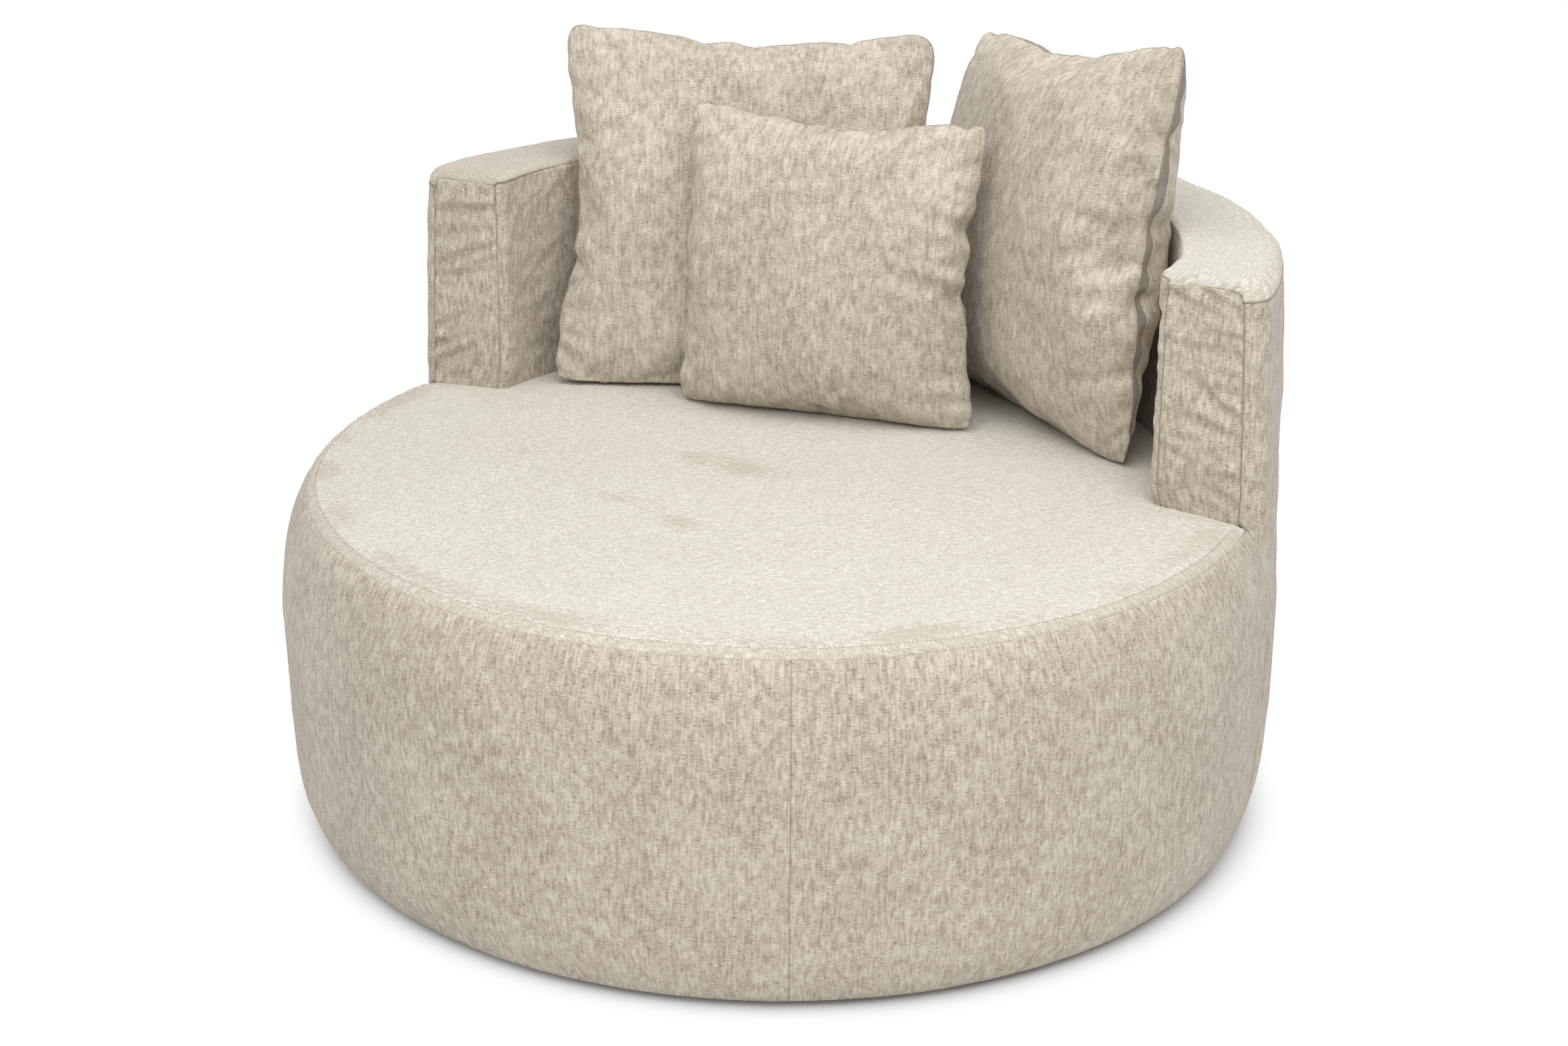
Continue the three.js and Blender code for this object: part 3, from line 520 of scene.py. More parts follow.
band_rise = edge_loft * (1 - np.exp(-from_rim / 0.0062)) * np.exp(-((from_rim / 0.11) ** 2))
band_rise -= 0.0030 * np.clip(1 - from_rim / band_width, 0, 1) ** 1.4
seat_form = seat_surface(seat_radius) + front_part * band_rise
seat_form -= (1 - front_part) * 0.0016 * np.clip(1 - from_rim / 0.012, 0, 1) ** 2
seat_top = seat_form - tucked(from_rim, 0.003, 0.0012) * front_part
seat_top -= front_part * 0.0016 * np.exp(-(((from_rim - band_width) / 0.0012) ** 2))
along_rim = np.broadcast_to(rim_run, seat_radius.shape)
seat_top += front_part * gathers(along_rim, from_rim, 21, depth=0.0009, reach=0.018, pitch=0.01)
calm = np.clip(from_rim / 0.03, 0, 1)
seat_top += calm * (0.0014 * waves(seat_spread, 0.24, 22) + 0.0004 * waves(seat_spread, 0.05, 23))
seat_face = np.concatenate([seat_plan, seat_top[..., None]], -1)
seat_face = laid_over(seat_face, np.broadcast_to((0.0, 0.0, 1.0), seat_face.shape), "seat_wadding")
seat_under = np.concatenate([seat_plan, (seat_form - cloth_thickness)[..., None]], -1)
# Darker zone along the seat's front band and edge: worn pile, and painted shade where the edge slopes down
# away from the lamp.
edge_wear_and_shade = 0.8 * np.exp(-(((from_rim - 0.026) / 0.024) ** 2))
edge_wear_and_shade *= 0.62 + 0.38 * waves(seat_spread, 0.12, 24)
edge_wear_and_shade = np.where(from_rim < band_width, 0.76, edge_wear_and_shade)
seat_crush_and_shade = front_part * np.clip(edge_wear_and_shade, 0, 1)
for x, y, wide, deep, share in brushed_spots:
    spot = np.exp(-(((seat_plan[..., 0] - x) / wide) ** 2) - ((seat_plan[..., 1] - y) / deep) ** 2)
    seat_crush_and_shade = np.maximum(seat_crush_and_shade, share * spot * (0.85 + 0.3 * waves(seat_spread, 0.06, 25)))
under_rows = [0, 4, 8, 14, 20, 28, 44, 60, len(shares) - 1]
top_at = np.arange(seat_radius.size).reshape(seat_radius.shape)
under_at = top_at.size + np.arange(len(under_rows) * rim_count).reshape(len(under_rows), rim_count)
centre_top = int(under_at.max()) + 1
centre_under = centre_top + 1
top_at = np.column_stack([top_at, top_at[:, 0]])
under_at = np.column_stack([under_at, under_at[:, 0]])
seat_faces = grid_quads(top_at) + grid_quads(under_at, turned=True)
top_at = top_at.tolist()
under_at = under_at.tolist()
for c in range(rim_count):
    seat_faces.append((top_at[0][c + 1], top_at[0][c], under_at[0][c], under_at[0][c + 1]))
    seat_faces.append((top_at[-1][c], top_at[-1][c + 1], centre_top))
    seat_faces.append((under_at[-1][c + 1], under_at[-1][c], centre_under))
middle = np.array([[0, 0, seat_top[-1].mean()], [0, 0, seat_form[-1].mean() - cloth_thickness]])
seat_points = np.concatenate([seat_face.reshape(-1, 3), seat_under[under_rows].reshape(-1, 3), middle])
seat_flat = seat_points[:, :2].copy()
seat_points[:, 1] += drum_centre_y
seat_crush_and_shade_values = np.concatenate([seat_crush_and_shade.ravel(), seat_crush_and_shade[under_rows].ravel(), [0, 0]])
sewn_cover(closed_piece("seat_cloth", seat_points, seat_faces, seat_flat, lit_flat_cloth, seat_crush_and_shade_values), "seat_cover")

# Outside of the back: one length of cloth from arm to arm, over the foam and down over the drum to the hem.
# Its top is sewn to the level panel and its upright ends to the fronts of the arms. Low down it runs into the
# drum.
wall_top_seam = 0.741
outer_seam_drop = 0.0155
arm_outer_corner = 0.032
outer_seam_turn = math.radians(15)
wall_belly = 0.300
outer_corner_y = arm_face_y + arm_outer_corner
outer_corner_x = math.sqrt((wall_outer_radius - arm_outer_corner) ** 2 - (outer_corner_y - back_setback) ** 2)
outer_corner_end = math.atan2(outer_corner_y - back_setback, outer_corner_x)


def wall_tuck(z):
    """How far the wall's outside draws in at a height, above and below its belly and at the shoulder"""
    up = np.clip((z - wall_belly) / (wall_top_seam - wall_belly), 0, 1)
    down = np.clip((wall_belly - z) / (wall_belly - hem_height), 0, 1)
    shoulder = np.clip((z - 0.716) / 0.022, 0, 1)
    return 0.0146 * up**2 + 0.006 * down**2 + 0.009 * down**8 + 0.0025 * shoulder**2


outer_corner_first = outer_seam_turn - math.pi / 2
outer_corner = arc_points(
    outer_corner_x, outer_corner_y, arm_outer_corner, outer_corner_first, outer_corner_end
)
outer_half = arc_points(0, back_setback, wall_outer_radius, outer_corner_end, math.pi / 2)
outer_half = np.concatenate([outer_corner[:-1], outer_half])


def wall_outline(plan, z):
    """Plan of the wall's outside at a height: the wall itself, or the drum where that stands proud of it"""
    radius = np.hypot(plan[:, 0], plan[:, 1])
    wall = radius - wall_tuck(z)
    side = drum_side(min(z, seam_height))
    merged = (wall + side + np.hypot(wall - side, 0.005)) / 2
    proud = np.clip((0.448 - z) / 0.010, 0, 1)
    wall = wall + (merged - wall) * eased(proud)
    return plan * (wall / radius)[:, None]


def mirrored(half):
    """Outline of the wall from its right half, which ends at the middle of the back"""
    return np.concatenate([half, half[-2::-1] * (-1, 1)])


outer_plan = mirrored(outer_half)
front_swell = 0.008
inner_corner = arc_points(
    inner_corner_x, inner_corner_y, inner_corner_radius, -math.pi / 2, inner_corner_start - math.pi, 0.0005
)
inner_half = arc_points(0, back_setback, wall_inner_radius, inner_corner_start, math.pi / 2)
inner_half = np.concatenate([inner_corner[:-1], inner_half])
swell_share = np.clip(1 - run_along(inner_half) / 0.11, 0, 1)
swollen_half = inner_half - (front_swell, 0) * eased(swell_share)[:, None]
swollen_plan = mirrored(swollen_half)
outer_seam_top = wall_top_seam - outer_seam_drop
outer_edge = wall_outline(outer_half, outer_seam_top)
front_edge = outer_edge[0] + (swollen_half[0] - outer_edge[0]) * np.linspace(0, 1, 60)[:, None]
crown_height = 0.0085
shoulder_width = 0.036
inner_edge_width = 0.010
front_roll = 0.014
front_drop = 0.012


def distance_to(plan, path):
    """Shortest distance from each point of a plan to a path"""
    points = plan.reshape(-1, 2)
    tree = KDTree(len(path))
    for k, (x, y) in enumerate(path):
        tree.insert((x, y, 0), k)
    tree.balance()
    nearest = np.array([tree.find((x, y, 0))[1] for x, y in points])
    best = np.full(len(points), np.inf)
    for shift in (-1, 0):
        at = np.clip(nearest + shift, 0, len(path) - 2)
        first = path[at]
        step = path[at + 1] - first
        share = np.clip(((points - first) * step).sum(1) / (step**2).sum(1), 0, 1)
        best = np.minimum(best, np.linalg.norm(points - first - step * share[:, None], axis=1))
    return best.reshape(plan.shape[:-1])


def edge_distances(plan):
    """Distances of the level panel's points from its outer seam, its inner seam and its front seam"""
    right = np.stack([np.abs(plan[..., 0]), plan[..., 1]], -1)
    return [distance_to(right, edge) for edge in (outer_edge, swollen_half, front_edge)]


def top_surface(plan):
    """Height of the level panel: softly crowned, rolled over at the shoulder, the inner edge and the front"""
    nearness = [np.maximum(distance - 0.00005, 0) for distance in edge_distances(plan)]
    shoulder = np.clip(1 - nearness[0] / shoulder_width, 0, 1)
    inner_edge = np.clip(1 - nearness[1] / inner_edge_width, 0, 1)
    front = np.clip(1 - nearness[2] / front_roll, 0, 1)
    over_shoulder = (crown_height + outer_seam_drop) * (1 - np.sqrt(1 - shoulder**2.4))
    over_inner_edge = (crown_height - 0.001) * (1 - np.sqrt(1 - inner_edge**2))
    over_front = front_drop * (1 - np.sqrt(1 - front**2))
    drop = (over_shoulder**3 + over_inner_edge**3 + over_front**3) ** (1 / 3)
    return wall_top_seam + crown_height - drop


back_plan = placed_along(outer_plan, sewn_steps(run_along(outer_plan)[-1]))
back_heights = ((hem_height, 0.43, 70), (0.434, 0.452, 8), (0.457, 0.712, 50), (0.715, outer_seam_top, 11))
back_heights = np.concatenate([np.linspace(*stretch) for stretch in back_heights])
back_levels = []
for radius, z in hem_turn:
    outline = wall_outline(back_plan, hem_height)
    inward = 0.607 - radius
    ring = np.hypot(outline[:, 0], outline[:, 1])
    back_levels.append(np.column_stack([outline * (1 - inward / ring)[:, None], np.full(len(outline), z)]))
seam_dip = outer_seam_top - top_surface(wall_outline(back_plan, outer_seam_top))
for z in back_heights:
    dipped = z - seam_dip * np.clip((z - 0.7) / (outer_seam_top - 0.7), 0, 1)
    back_levels.append(np.column_stack([wall_outline(back_plan, z), dipped]))
back_base = np.array(back_levels)
level = back_base[..., 2]
middle_column = len(back_plan) // 2
back_run = np.linalg.norm(np.diff(back_base[:, middle_column], axis=0), axis=1)
back_run = np.concatenate([[0], np.cumsum(back_run)])[:, None] + 0 * level
below_top = back_run[-1:] - back_run
from_right = run_along(back_plan)[None, :] + 0 * level
from_left = from_right[:, -1:] - from_right
above_seat = np.clip((level - 0.452) / 0.02, 0, 1)
rolled = np.maximum(tucked(from_right, 0.003, 0.0014), tucked(from_left, 0.003, 0.0014)) * above_seat
rolled = np.maximum(rolled, tucked(below_top, 0.0025, 0.0005))
drawn = gathers(from_right, below_top, 31, depth=0.0008, reach=0.02, pitch=0.012) - rolled
drawn += gathers(back_run, from_right, 32, depth=0.0015, reach=0.024, pitch=0.013) * above_seat
drawn += gathers(back_run, from_left, 33, depth=0.0008, reach=0.024, pitch=0.02) * above_seat
drawn += creases(from_right, level, 36, 9, 0.0, 0.05, 0.0045, 0.0013, (0.0, 0.03, 0.46, 0.72)) * above_seat
drawn += 0.0014 * waves(back_base, 0.2, 34) + 0.0006 * waves(back_base, 0.06, 35)
drawn *= np.clip((back_run - 0.02) / 0.02, 0, 1)
back_face = back_base + outward(back_base) * drawn[..., None]
back_flat = np.stack([from_right, back_run], -1)
back_shares = [0, 0.007, 0.014, 0.021, 0.04, 0.07, 0.12, 0.25, 0.4, 0.48, 0.5, 0.52, 0.54, 0.56, 0.58]
back_shares += [0.7, 0.85, 0.92, 0.95, 0.975, 1]
back_carriers = ("back_upper_wrap", "back_lower_wrap", "drum_wrap", "outer_back_board")
outer_back = cloth_panel(
    "outer_back_cloth", back_face, back_base, back_flat, back_shares, side_cloth, back_carriers
)
sewn_cover(outer_back, "outer_back_cover")

# Inside of the back and arms: a straight band of cloth that starts down behind the seat, on the spring plate,
# and is sewn to the level panel at the top. It turns the small front corners and meets the arm fronts there.
def swelling_at(z):
    """How far the arm's padding has swelled out at a height over the seat"""
    return np.clip((z - 0.445) / 0.03, 0, 1)


inner_low = 0.3985
inner_plan = mirrored(inner_half)
inner_heights = wall_top_seam - 0.0092 * np.linspace(1, 0, 9)[1:]
inner_heights = np.concatenate([np.linspace(inner_low, 0.7305, 66), inner_heights])
inner_at = sewn_steps(run_along(inner_plan)[-1])
straight = placed_along(inner_plan, inner_at)[::-1]
swelling = placed_along(swollen_plan, inner_at * run_along(swollen_plan)[-1] / inner_at[-1])[::-1]
swelled = swelling_at(inner_heights)[:, None, None]
inner_seam = top_surface(swelling)
inner_share = np.clip((inner_heights - 0.7) / (wall_top_seam - 0.7), 0, 1)[:, None]
inner_level = inner_heights[:, None] + inner_share * (inner_seam - wall_top_seam)[None, :]
inner_base = np.concatenate([straight * (1 - swelled) + swelling * swelled, inner_level[..., None]], -1)
inner_along = run_along(straight)[None, :] + 0 * inner_level
inner_ends = np.minimum(inner_along, inner_along[:, -1:] - inner_along)
inner_below = inner_level[-1:] - inner_level
drawn = -np.maximum(tucked(inner_below), tucked(inner_ends))
drawn += gathers(inner_along, inner_below, 41, depth=0.0014, reach=0.022, pitch=0.013)
drawn += gathers(inner_level - inner_low, inner_ends, 42, depth=0.0016, reach=0.024, pitch=0.014)
drawn += creases(inner_ends, inner_level, 43, 14, 0.25, 0.07, 0.006, 0.0018, (0.0, 0.12, 0.48, 0.73))
drawn += 0.0009 * waves(inner_base, 0.14, 44) + 0.0004 * waves(inner_base, 0.05, 45)
inner_face = inner_base + outward(inner_base) * drawn[..., None]
inner_flat = np.stack([inner_along, inner_level], -1)
inner_shares = [0, 0.13, 0.18, 0.25, 0.5, 0.8, 0.95, 1]
inner_carriers = ("inner_back_foam", "arm_front_pad_left", "arm_front_pad_right")
inner_back = cloth_panel(
    "inner_back_cloth", inner_face, inner_base, inner_flat, inner_shares, side_cloth, inner_carriers
)
sewn_cover(inner_back, "inner_back_cover")

# Top of the back and arms: a level panel over the rib's pad, softly crowned. It rounds over the outer
# shoulder to its seam there, turns a small edge inside, and its ends are sewn to the arm fronts.
top_shares = sewn_steps(run_along(outer_plan)[-1]) / run_along(outer_plan)[-1]
top_outer = wall_outline(placed_along(outer_plan, top_shares * run_along(outer_plan)[-1]), outer_seam_top)
top_inner = placed_along(swollen_plan, top_shares * run_along(swollen_plan)[-1])
width = np.linalg.norm(top_outer - top_inner, axis=1)
across_shares = np.concatenate([[0, 0.004, 0.01, 0.018, 0.03, 0.045, 0.07], np.linspace(0.1, 0.9, 22)])
across_shares = np.concatenate([across_shares, [0.925, 0.945, 0.962, 0.975, 0.986, 0.994, 1]])[:, None]
from_outer = across_shares * width[None, :]
top_plan = top_outer[None] + (top_inner - top_outer)[None] * across_shares[..., None]
top_along = run_along(top_plan[len(across_shares) // 2])[None, :] + 0 * from_outer
top_base = np.concatenate([top_plan, top_surface(top_plan)[..., None] + 0.0003], -1)
to_outer, to_inner, to_front = edge_distances(top_plan)
to_seam = np.minimum(np.minimum(to_outer, to_inner), to_front)
drawn = -tucked(to_seam, 0.003, 0.0007)
drawn += gathers(top_along, to_outer, 51, depth=0.0008, reach=0.016, pitch=0.012)
drawn += gathers(top_along, to_inner, 52, depth=0.0012, reach=0.014, pitch=0.013)
drawn += gathers(from_outer, to_front, 54, depth=0.0013, reach=0.018, pitch=0.011)
drawn += 0.0009 * waves(top_base, 0.12, 53)
top_face = top_base + outward(top_base) * drawn[..., None]
top_flat = np.stack([top_along, from_outer], -1)
top_back_shares = [0, 0.06, 0.12, 0.17, 0.2, 0.3, 0.5, 0.7, 0.8, 0.86, 0.92, 0.96, 1]
# Painted shade on the level panel: darker where it rolls over the outer shoulder towards the side, and over
# the left arm.
top_painted_shade = 0.62 * np.exp(-((to_outer / 0.02) ** 2))
top_painted_shade = np.maximum(top_painted_shade, 0.95 * np.clip((-0.25 - top_plan[..., 0]) / 0.15, 0, 1))
back_top = cloth_panel(
    "back_top_cloth", top_face, top_base, top_flat, top_back_shares, lit_flat_cloth, ("back_upper_wrap",), top_painted_shade
)
sewn_cover(back_top, "back_top_cover")

# Fronts of the arms: an upright panel on each, over its pad, sewn to the covers inside and outside the arm
# and to the level panel. The pull of those seams leaves soft slanting creases across it.
face_low = 0.4308
low_corner_height = 0.46


def arm_front(name, side, seed, node):
    low_corner = wall_outline(outer_plan[:1], low_corner_height)[0]
    high_corner = wall_outline(outer_plan[:1], outer_seam_top)[0]
    inner_end = np.array([inner_corner_x + 0.0006, arm_face_y])
    high_start = inner_end - (front_swell, 0)
    width = math.hypot(*(high_corner - high_start))
    columns = sewn_steps(width, 0.0042)[None, :] / width
    top_edge = top_surface(high_start + (high_corner - high_start) * columns[..., None])
    rows = sewn_steps(wall_top_seam - face_low, 0.0045)[:, None] / (wall_top_seam - face_low)
    upright = face_low + rows * (top_edge - face_low)
    rise = np.clip((upright - low_corner_height) / (outer_seam_top - low_corner_height), 0, 1)[..., None]
    outer_end = low_corner * (1 - rise) + high_corner * rise - (0.0004, 0)
    swelled = swelling_at(upright)[..., None]
    start = inner_end - (front_swell, 0) * swelled
    plan = start * (1 - columns[..., None]) + outer_end * columns[..., None]
    base = np.concatenate([plan, upright[..., None]], -1)
    across = columns * width + 0 * upright
    run = upright - face_low
    below = top_edge - upright
    from_side = np.minimum(across, width - across)
    rolled = np.maximum(tucked(below, 0.003, 0.001), tucked(from_side, 0.003, 0.0012))
    drawn = 0.0022 * (1 - np.abs(2 * columns - 1) ** 3) - rolled
    drawn = drawn + gathers(across, below, seed, depth=0.0018, reach=0.02, pitch=0.012)
    drawn += gathers(run, across, seed + 1, depth=0.0017, reach=0.022, pitch=0.014)
    drawn += gathers(run, width - across, seed + 2, depth=0.0022, reach=0.026, pitch=0.013)
    drawn += creases(across, upright, seed + 3, 15, -0.42, 0.085, 0.0046, 0.0036, (0.01, 0.1, 0.47, 0.73))
    drawn += creases(across, upright, seed + 4, 10, -0.1, 0.04, 0.0035, 0.0022, (0.08, 0.11, 0.5, 0.74))
    drawn += 0.0009 * waves(base, 0.07, seed + 5)
    flat = np.stack([across, run], -1)
    if side < 0:
        base = base[:, ::-1] * (-1, 1, 1)
        drawn = drawn[:, ::-1]
        flat = flat[:, ::-1]
    face = base + outward(base) * drawn[..., None]
    pad = node.replace("cover", "pad")
    panel = cloth_panel(name, face, base, flat, [0, 0.1, 0.25, 0.5, 0.75, 0.9, 1], side_cloth, (pad,))
    sewn_cover(panel, node)


arm_front("arm_front_cloth_left", -1, 61, "arm_front_cover_left")
arm_front("arm_front_cloth_right", 1, 71, "arm_front_cover_right")

# Seams: the folded allowances show as a thin roll of cloth in the bottom of each seam. Tone-on-tone thread
# holds them in short stitches, and a row of longer stitches runs along the band of the seat's front edge.
seam_cloth = chenille("chenille folded into the seams", (0.5, 0.45, 0.38), (0.24, 0.2, 0.155), sheen=0.1)
fold_corners = 8
thread, thread_tree, thread_surface = new_finish("spun polyester thread")
thread_place = shader_node(thread_tree, "ShaderNodeTexCoord")
thread_twist = pile_noise(thread_tree, thread_place.outputs["Object"], (1, 1), 1900, 2, 0.3, 0.7)
thread_colour = tinted(thread_tree, thread_twist, (0.3, 0.25, 0.195, 1), (0.55, 0.49, 0.4, 1))
thread_tree.links.new(thread_colour, thread_surface.inputs["Base Color"])
raised(thread_tree, thread_surface, thread_twist, 0.8, 0.0002)
thread_surface.inputs["Roughness"].default_value = 0.68
thread_surface.inputs["Sheen Weight"].default_value = 0.2

stitch_row = bpy.data.node_groups.new("row of stitches", "GeometryNodeTree")
group_socket(stitch_row, "Path", "INPUT", "NodeSocketGeometry")
group_socket(stitch_row, "Pitch", "INPUT", "NodeSocketFloat", 0.004)
group_socket(stitch_row, "Stitch length", "INPUT", "NodeSocketFloat", 0.003)
group_socket(stitch_row, "Thread thickness", "INPUT", "NodeSocketFloat", 0.0007)
group_socket(stitch_row, "Seed", "INPUT", "NodeSocketInt", 1)
group_socket(stitch_row, "Thread", "INPUT", "NodeSocketMaterial")
group_socket(stitch_row, "Stitches", "OUTPUT", "NodeSocketGeometry")
row_in = stitch_row.nodes.new("NodeGroupInput")
row_out = stitch_row.nodes.new("NodeGroupOutput")
row_line = stitch_row.nodes.new("GeometryNodeMeshToCurve")
row_steps = stitch_row.nodes.new("GeometryNodeResampleCurve")
row_steps.mode = "LENGTH"
stitch_ball = stitch_row.nodes.new("GeometryNodeMeshUVSphere")
stitch_ball.inputs["Segments"].default_value = 6
stitch_ball.inputs["Rings"].default_value = 4
stitch_ball.inputs["Radius"].default_value = 0.5
row_ahead = stitch_row.nodes.new("GeometryNodeInputTangent")
row_turn = stitch_row.nodes.new("FunctionNodeAlignRotationToVector")
row_turn.axis = "Z"
row_stretch = stitch_row.nodes.new("ShaderNodeCombineXYZ")
row_uneven = stitch_row.nodes.new("FunctionNodeRandomValue")
row_uneven.inputs[2].default_value = 0.82
row_uneven.inputs[3].default_value = 1.1
row_copies = stitch_row.nodes.new("GeometryNodeInstanceOnPoints")
row_real = stitch_row.nodes.new("GeometryNodeRealizeInstances")
row_smooth = stitch_row.nodes.new("GeometryNodeSetShadeSmooth")
row_thread = stitch_row.nodes.new("GeometryNodeSetMaterial")
row_length = joined(stitch_row, "MULTIPLY", row_in.outputs["Stitch length"], row_uneven.outputs[1])
stitch_row.links.new(row_length, row_stretch.inputs["Z"])
for source, result, target, value in (
    (row_in, "Path", row_line, "Mesh"),
    (row_line, "Curve", row_steps, "Curve"),
    (row_in, "Pitch", row_steps, "Length"),
    (row_ahead, "Tangent", row_turn, "Vector"),
    (row_in, "Seed", row_uneven, "Seed"),
    (row_in, "Thread thickness", row_stretch, "X"),
    (row_in, "Thread thickness", row_stretch, "Y"),
    (row_steps, "Curve", row_copies, "Points"),
    (stitch_ball, "Mesh", row_copies, "Instance"),
    (row_turn, "Rotation", row_copies, "Rotation"),
    (row_stretch, "Vector", row_copies, "Scale"),
    (row_copies, "Instances", row_real, "Geometry"),
    (row_real, "Geometry", row_smooth, "Geometry"),
    (row_smooth, "Geometry", row_thread, "Geometry"),
    (row_in, "Thread", row_thread, "Material"),
    (row_thread, "Geometry", row_out, "Stitches"),
):
    stitch_row.links.new(source.outputs[result], target.inputs[value])


def stitches(name, path, pitch, length, thickness, seed, body="chair"):
    """Row of stitches along an open path, as one plain mesh"""
    line = bpy.data.meshes.new(name)
    line.from_pydata(path.tolist(), [(k, k + 1) for k in range(len(path) - 1)], [])
    row = new_object(name, line)
    sewing = row.modifiers.new("sewing", "NODES")
    sewing.node_group = stitch_row
    values = {
        "Pitch": pitch,
        "Stitch length": length,
        "Thread thickness": thickness,
        "Seed": seed,
        "Thread": thread,
    }
    for item in stitch_row.interface.items_tree:
        if item.in_out == "INPUT" and item.name in values:
            sewing[item.identifier] = values[item.name]
    sewn = bpy.data.meshes.new_from_object(row.evaluated_get(bpy.context.evaluated_depsgraph_get()))
    row.modifiers.clear()
    row.data = sewn
    sewn.name = name
    bpy.data.meshes.remove(line)
    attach(row, body)


def seam_fold(name, path, radius, body="chair"):
    """Round roll of cloth along an open path, closed at both ends"""
    ahead = np.gradient(path, axis=0)
    ahead /= np.linalg.norm(ahead, axis=1, keepdims=True)
    reference = np.array([0, 0, 1]) if abs(ahead[len(path) // 2, 2]) < 0.8 else np.array([0, 1, 0])
    beside = np.cross(ahead, reference)
    beside /= np.maximum(np.linalg.norm(beside, axis=1, keepdims=True), 1e-9)
    above = np.cross(beside, ahead)
    turns = np.arange(fold_corners) * 2 * math.pi / fold_corners
    radius = np.broadcast_to(radius, len(path))
    ring = path[:, None] + radius[:, None, None] * (
        beside[:, None] * np.cos(turns)[None, :, None] + above[:, None] * np.sin(turns)[None, :, None]
    )
    at = np.arange(len(path) * fold_corners).reshape(len(path), fold_corners)
    ends = [at[0].tolist(), at[-1, ::-1].tolist()]
    faces = ends + grid_quads(np.column_stack([at, at[:, 0]]), turned=True)
    run = np.concatenate([[0], np.cumsum(np.linalg.norm(np.diff(path, axis=0), axis=1))])
    flat = np.stack([np.repeat(run, fold_corners), np.tile(turns * 0.002, len(path))], -1)
    fold = closed_piece(name, ring.reshape(-1, 3), faces, flat, seam_cloth)
    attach(fold, body)


def in_place(plan, heights):
    """Path in the chair's own frame, from a plan about the drum's middle and heights"""
    return np.column_stack([plan[:, 0], plan[:, 1] + drum_centre_y, heights])


fine_thread = 0.0007
rim_turns = np.linspace(-math.pi - front_end + 0.004, front_end - 0.004, 460)
rim_seam = 0.6018 * np.column_stack([np.cos(rim_turns), np.sin(rim_turns)])
rim_height = np.full(len(rim_turns), 0.4350)
seam_fold("drum_top_seam", in_place(rim_seam, rim_height), 0.0017)
rim_thread = in_place(rim_seam * 1.0022, rim_height + 0.0004)
stitches("drum_top_stitches", rim_thread, 0.0042, 0.0026, fine_thread, 1)
band_row = int(np.argmin(np.abs(inset - band_width)))
band_line = seat_face[band_row][front_part[band_row] > 0.9]
band_line = band_line[np.argsort(np.arctan2(-band_line[:, 0], band_line[:, 1] - 0.05))]
stitches("band_stitches", band_line + (0, drum_centre_y, 0.0003), 0.0052, 0.0041, 0.0009, 2)

side_heights = np.linspace(0.016, 0.434, 90)
side_way = np.array([[math.cos(side_seam_turn), math.sin(side_seam_turn)]])
side_seam = (drum_side(side_heights) - 0.0022)[:, None] * side_way
seam_fold("drum_side_seam", in_place(side_seam, side_heights), 0.0012)
side_thread = in_place(side_seam + 0.0012 * side_way, side_heights)
stitches("drum_side_stitches", side_thread, 0.0042, 0.0024, fine_thread, 3)

outer_line = wall_outline(back_plan, outer_seam_top)
outer_line = outer_line * (1 - 0.0018 / np.hypot(*outer_line.T))[:, None]
seam_fold("back_outer_seam", in_place(outer_line, outer_seam_top - seam_dip), 0.0012)
inner_line = top_inner * (1 + 0.0022 / np.hypot(*top_inner.T))[:, None]
seam_fold("back_inner_seam", in_place(inner_line, top_surface(top_inner) - 0.0002), 0.0013)
for side, word in ((-1, "left"), (1, "right")):
    heights = np.linspace(0.425, top_surface(outer_edge[:1])[0], 80)
    corner = np.array([wall_outline(outer_plan[:1], z)[0] for z in heights]) - (0.0012, -0.0018)
    thick = 0.0012 + 0.0022 * np.exp(-(((heights - 0.443) / 0.009) ** 2))
    seam_fold("arm_outer_seam_" + word, in_place(corner * (side, 1), heights), thick)
    face_line = in_place(corner * (side, 1) - (0, 0.0012), heights)[12:]
    stitches("arm_outer_stitches_" + word, face_line, 0.0045, 0.0026, fine_thread, 4)
    heights = np.linspace(0.438, top_surface(swollen_half[:1])[0], 60)
    inner_end = inner_corner_x - front_swell * swelling_at(heights)
    corner = np.column_stack([inner_end, np.full(len(heights), arm_face_y + 0.0018)])
    seam_fold("arm_inner_seam_" + word, in_place(corner * (side, 1), heights), 0.0012)
    face_line = in_place(corner * (side, 1) - (0, 0.0012), heights)
    stitches("arm_inner_stitches_" + word, face_line, 0.0045, 0.0026, fine_thread, 5)
    lift = top_surface(front_edge) - 0.0004
    top_line = front_edge * (side, 1) + (0, 0.0018)
    seam_fold("arm_top_seam_" + word, in_place(top_line, lift), 0.0012)
    face_line = in_place(top_line - (0, 0.0013), lift)
    stitches("arm_top_stitches_" + word, face_line, 0.0045, 0.0026, fine_thread, 6)

# Loose cushions: two squares of the same cloth sewn together round the edge, turned and stuffed with fibre,
# so the sides draw in between ears at the corners. A nylon zip lies hidden between two lips in the lower
# edge. Sizes are the side, how far front and back swell out, and how far the upper side is skewed.
cushion_cloth = chenille(
    "chenille of the cushions",
    (0.69, 0.63, 0.535),
    (0.31, 0.25, 0.193),
    heather=0.9,
    bruising=1.35,
    sheen=0.3,
)
zip_open_share = 0.87
lip_half = 0.0045
tape_half = 0.0032
tape_depth = 0.0068
other_side = 1.3
start_share = 0.72
start_shrink = 0.965
fill_frames = 20


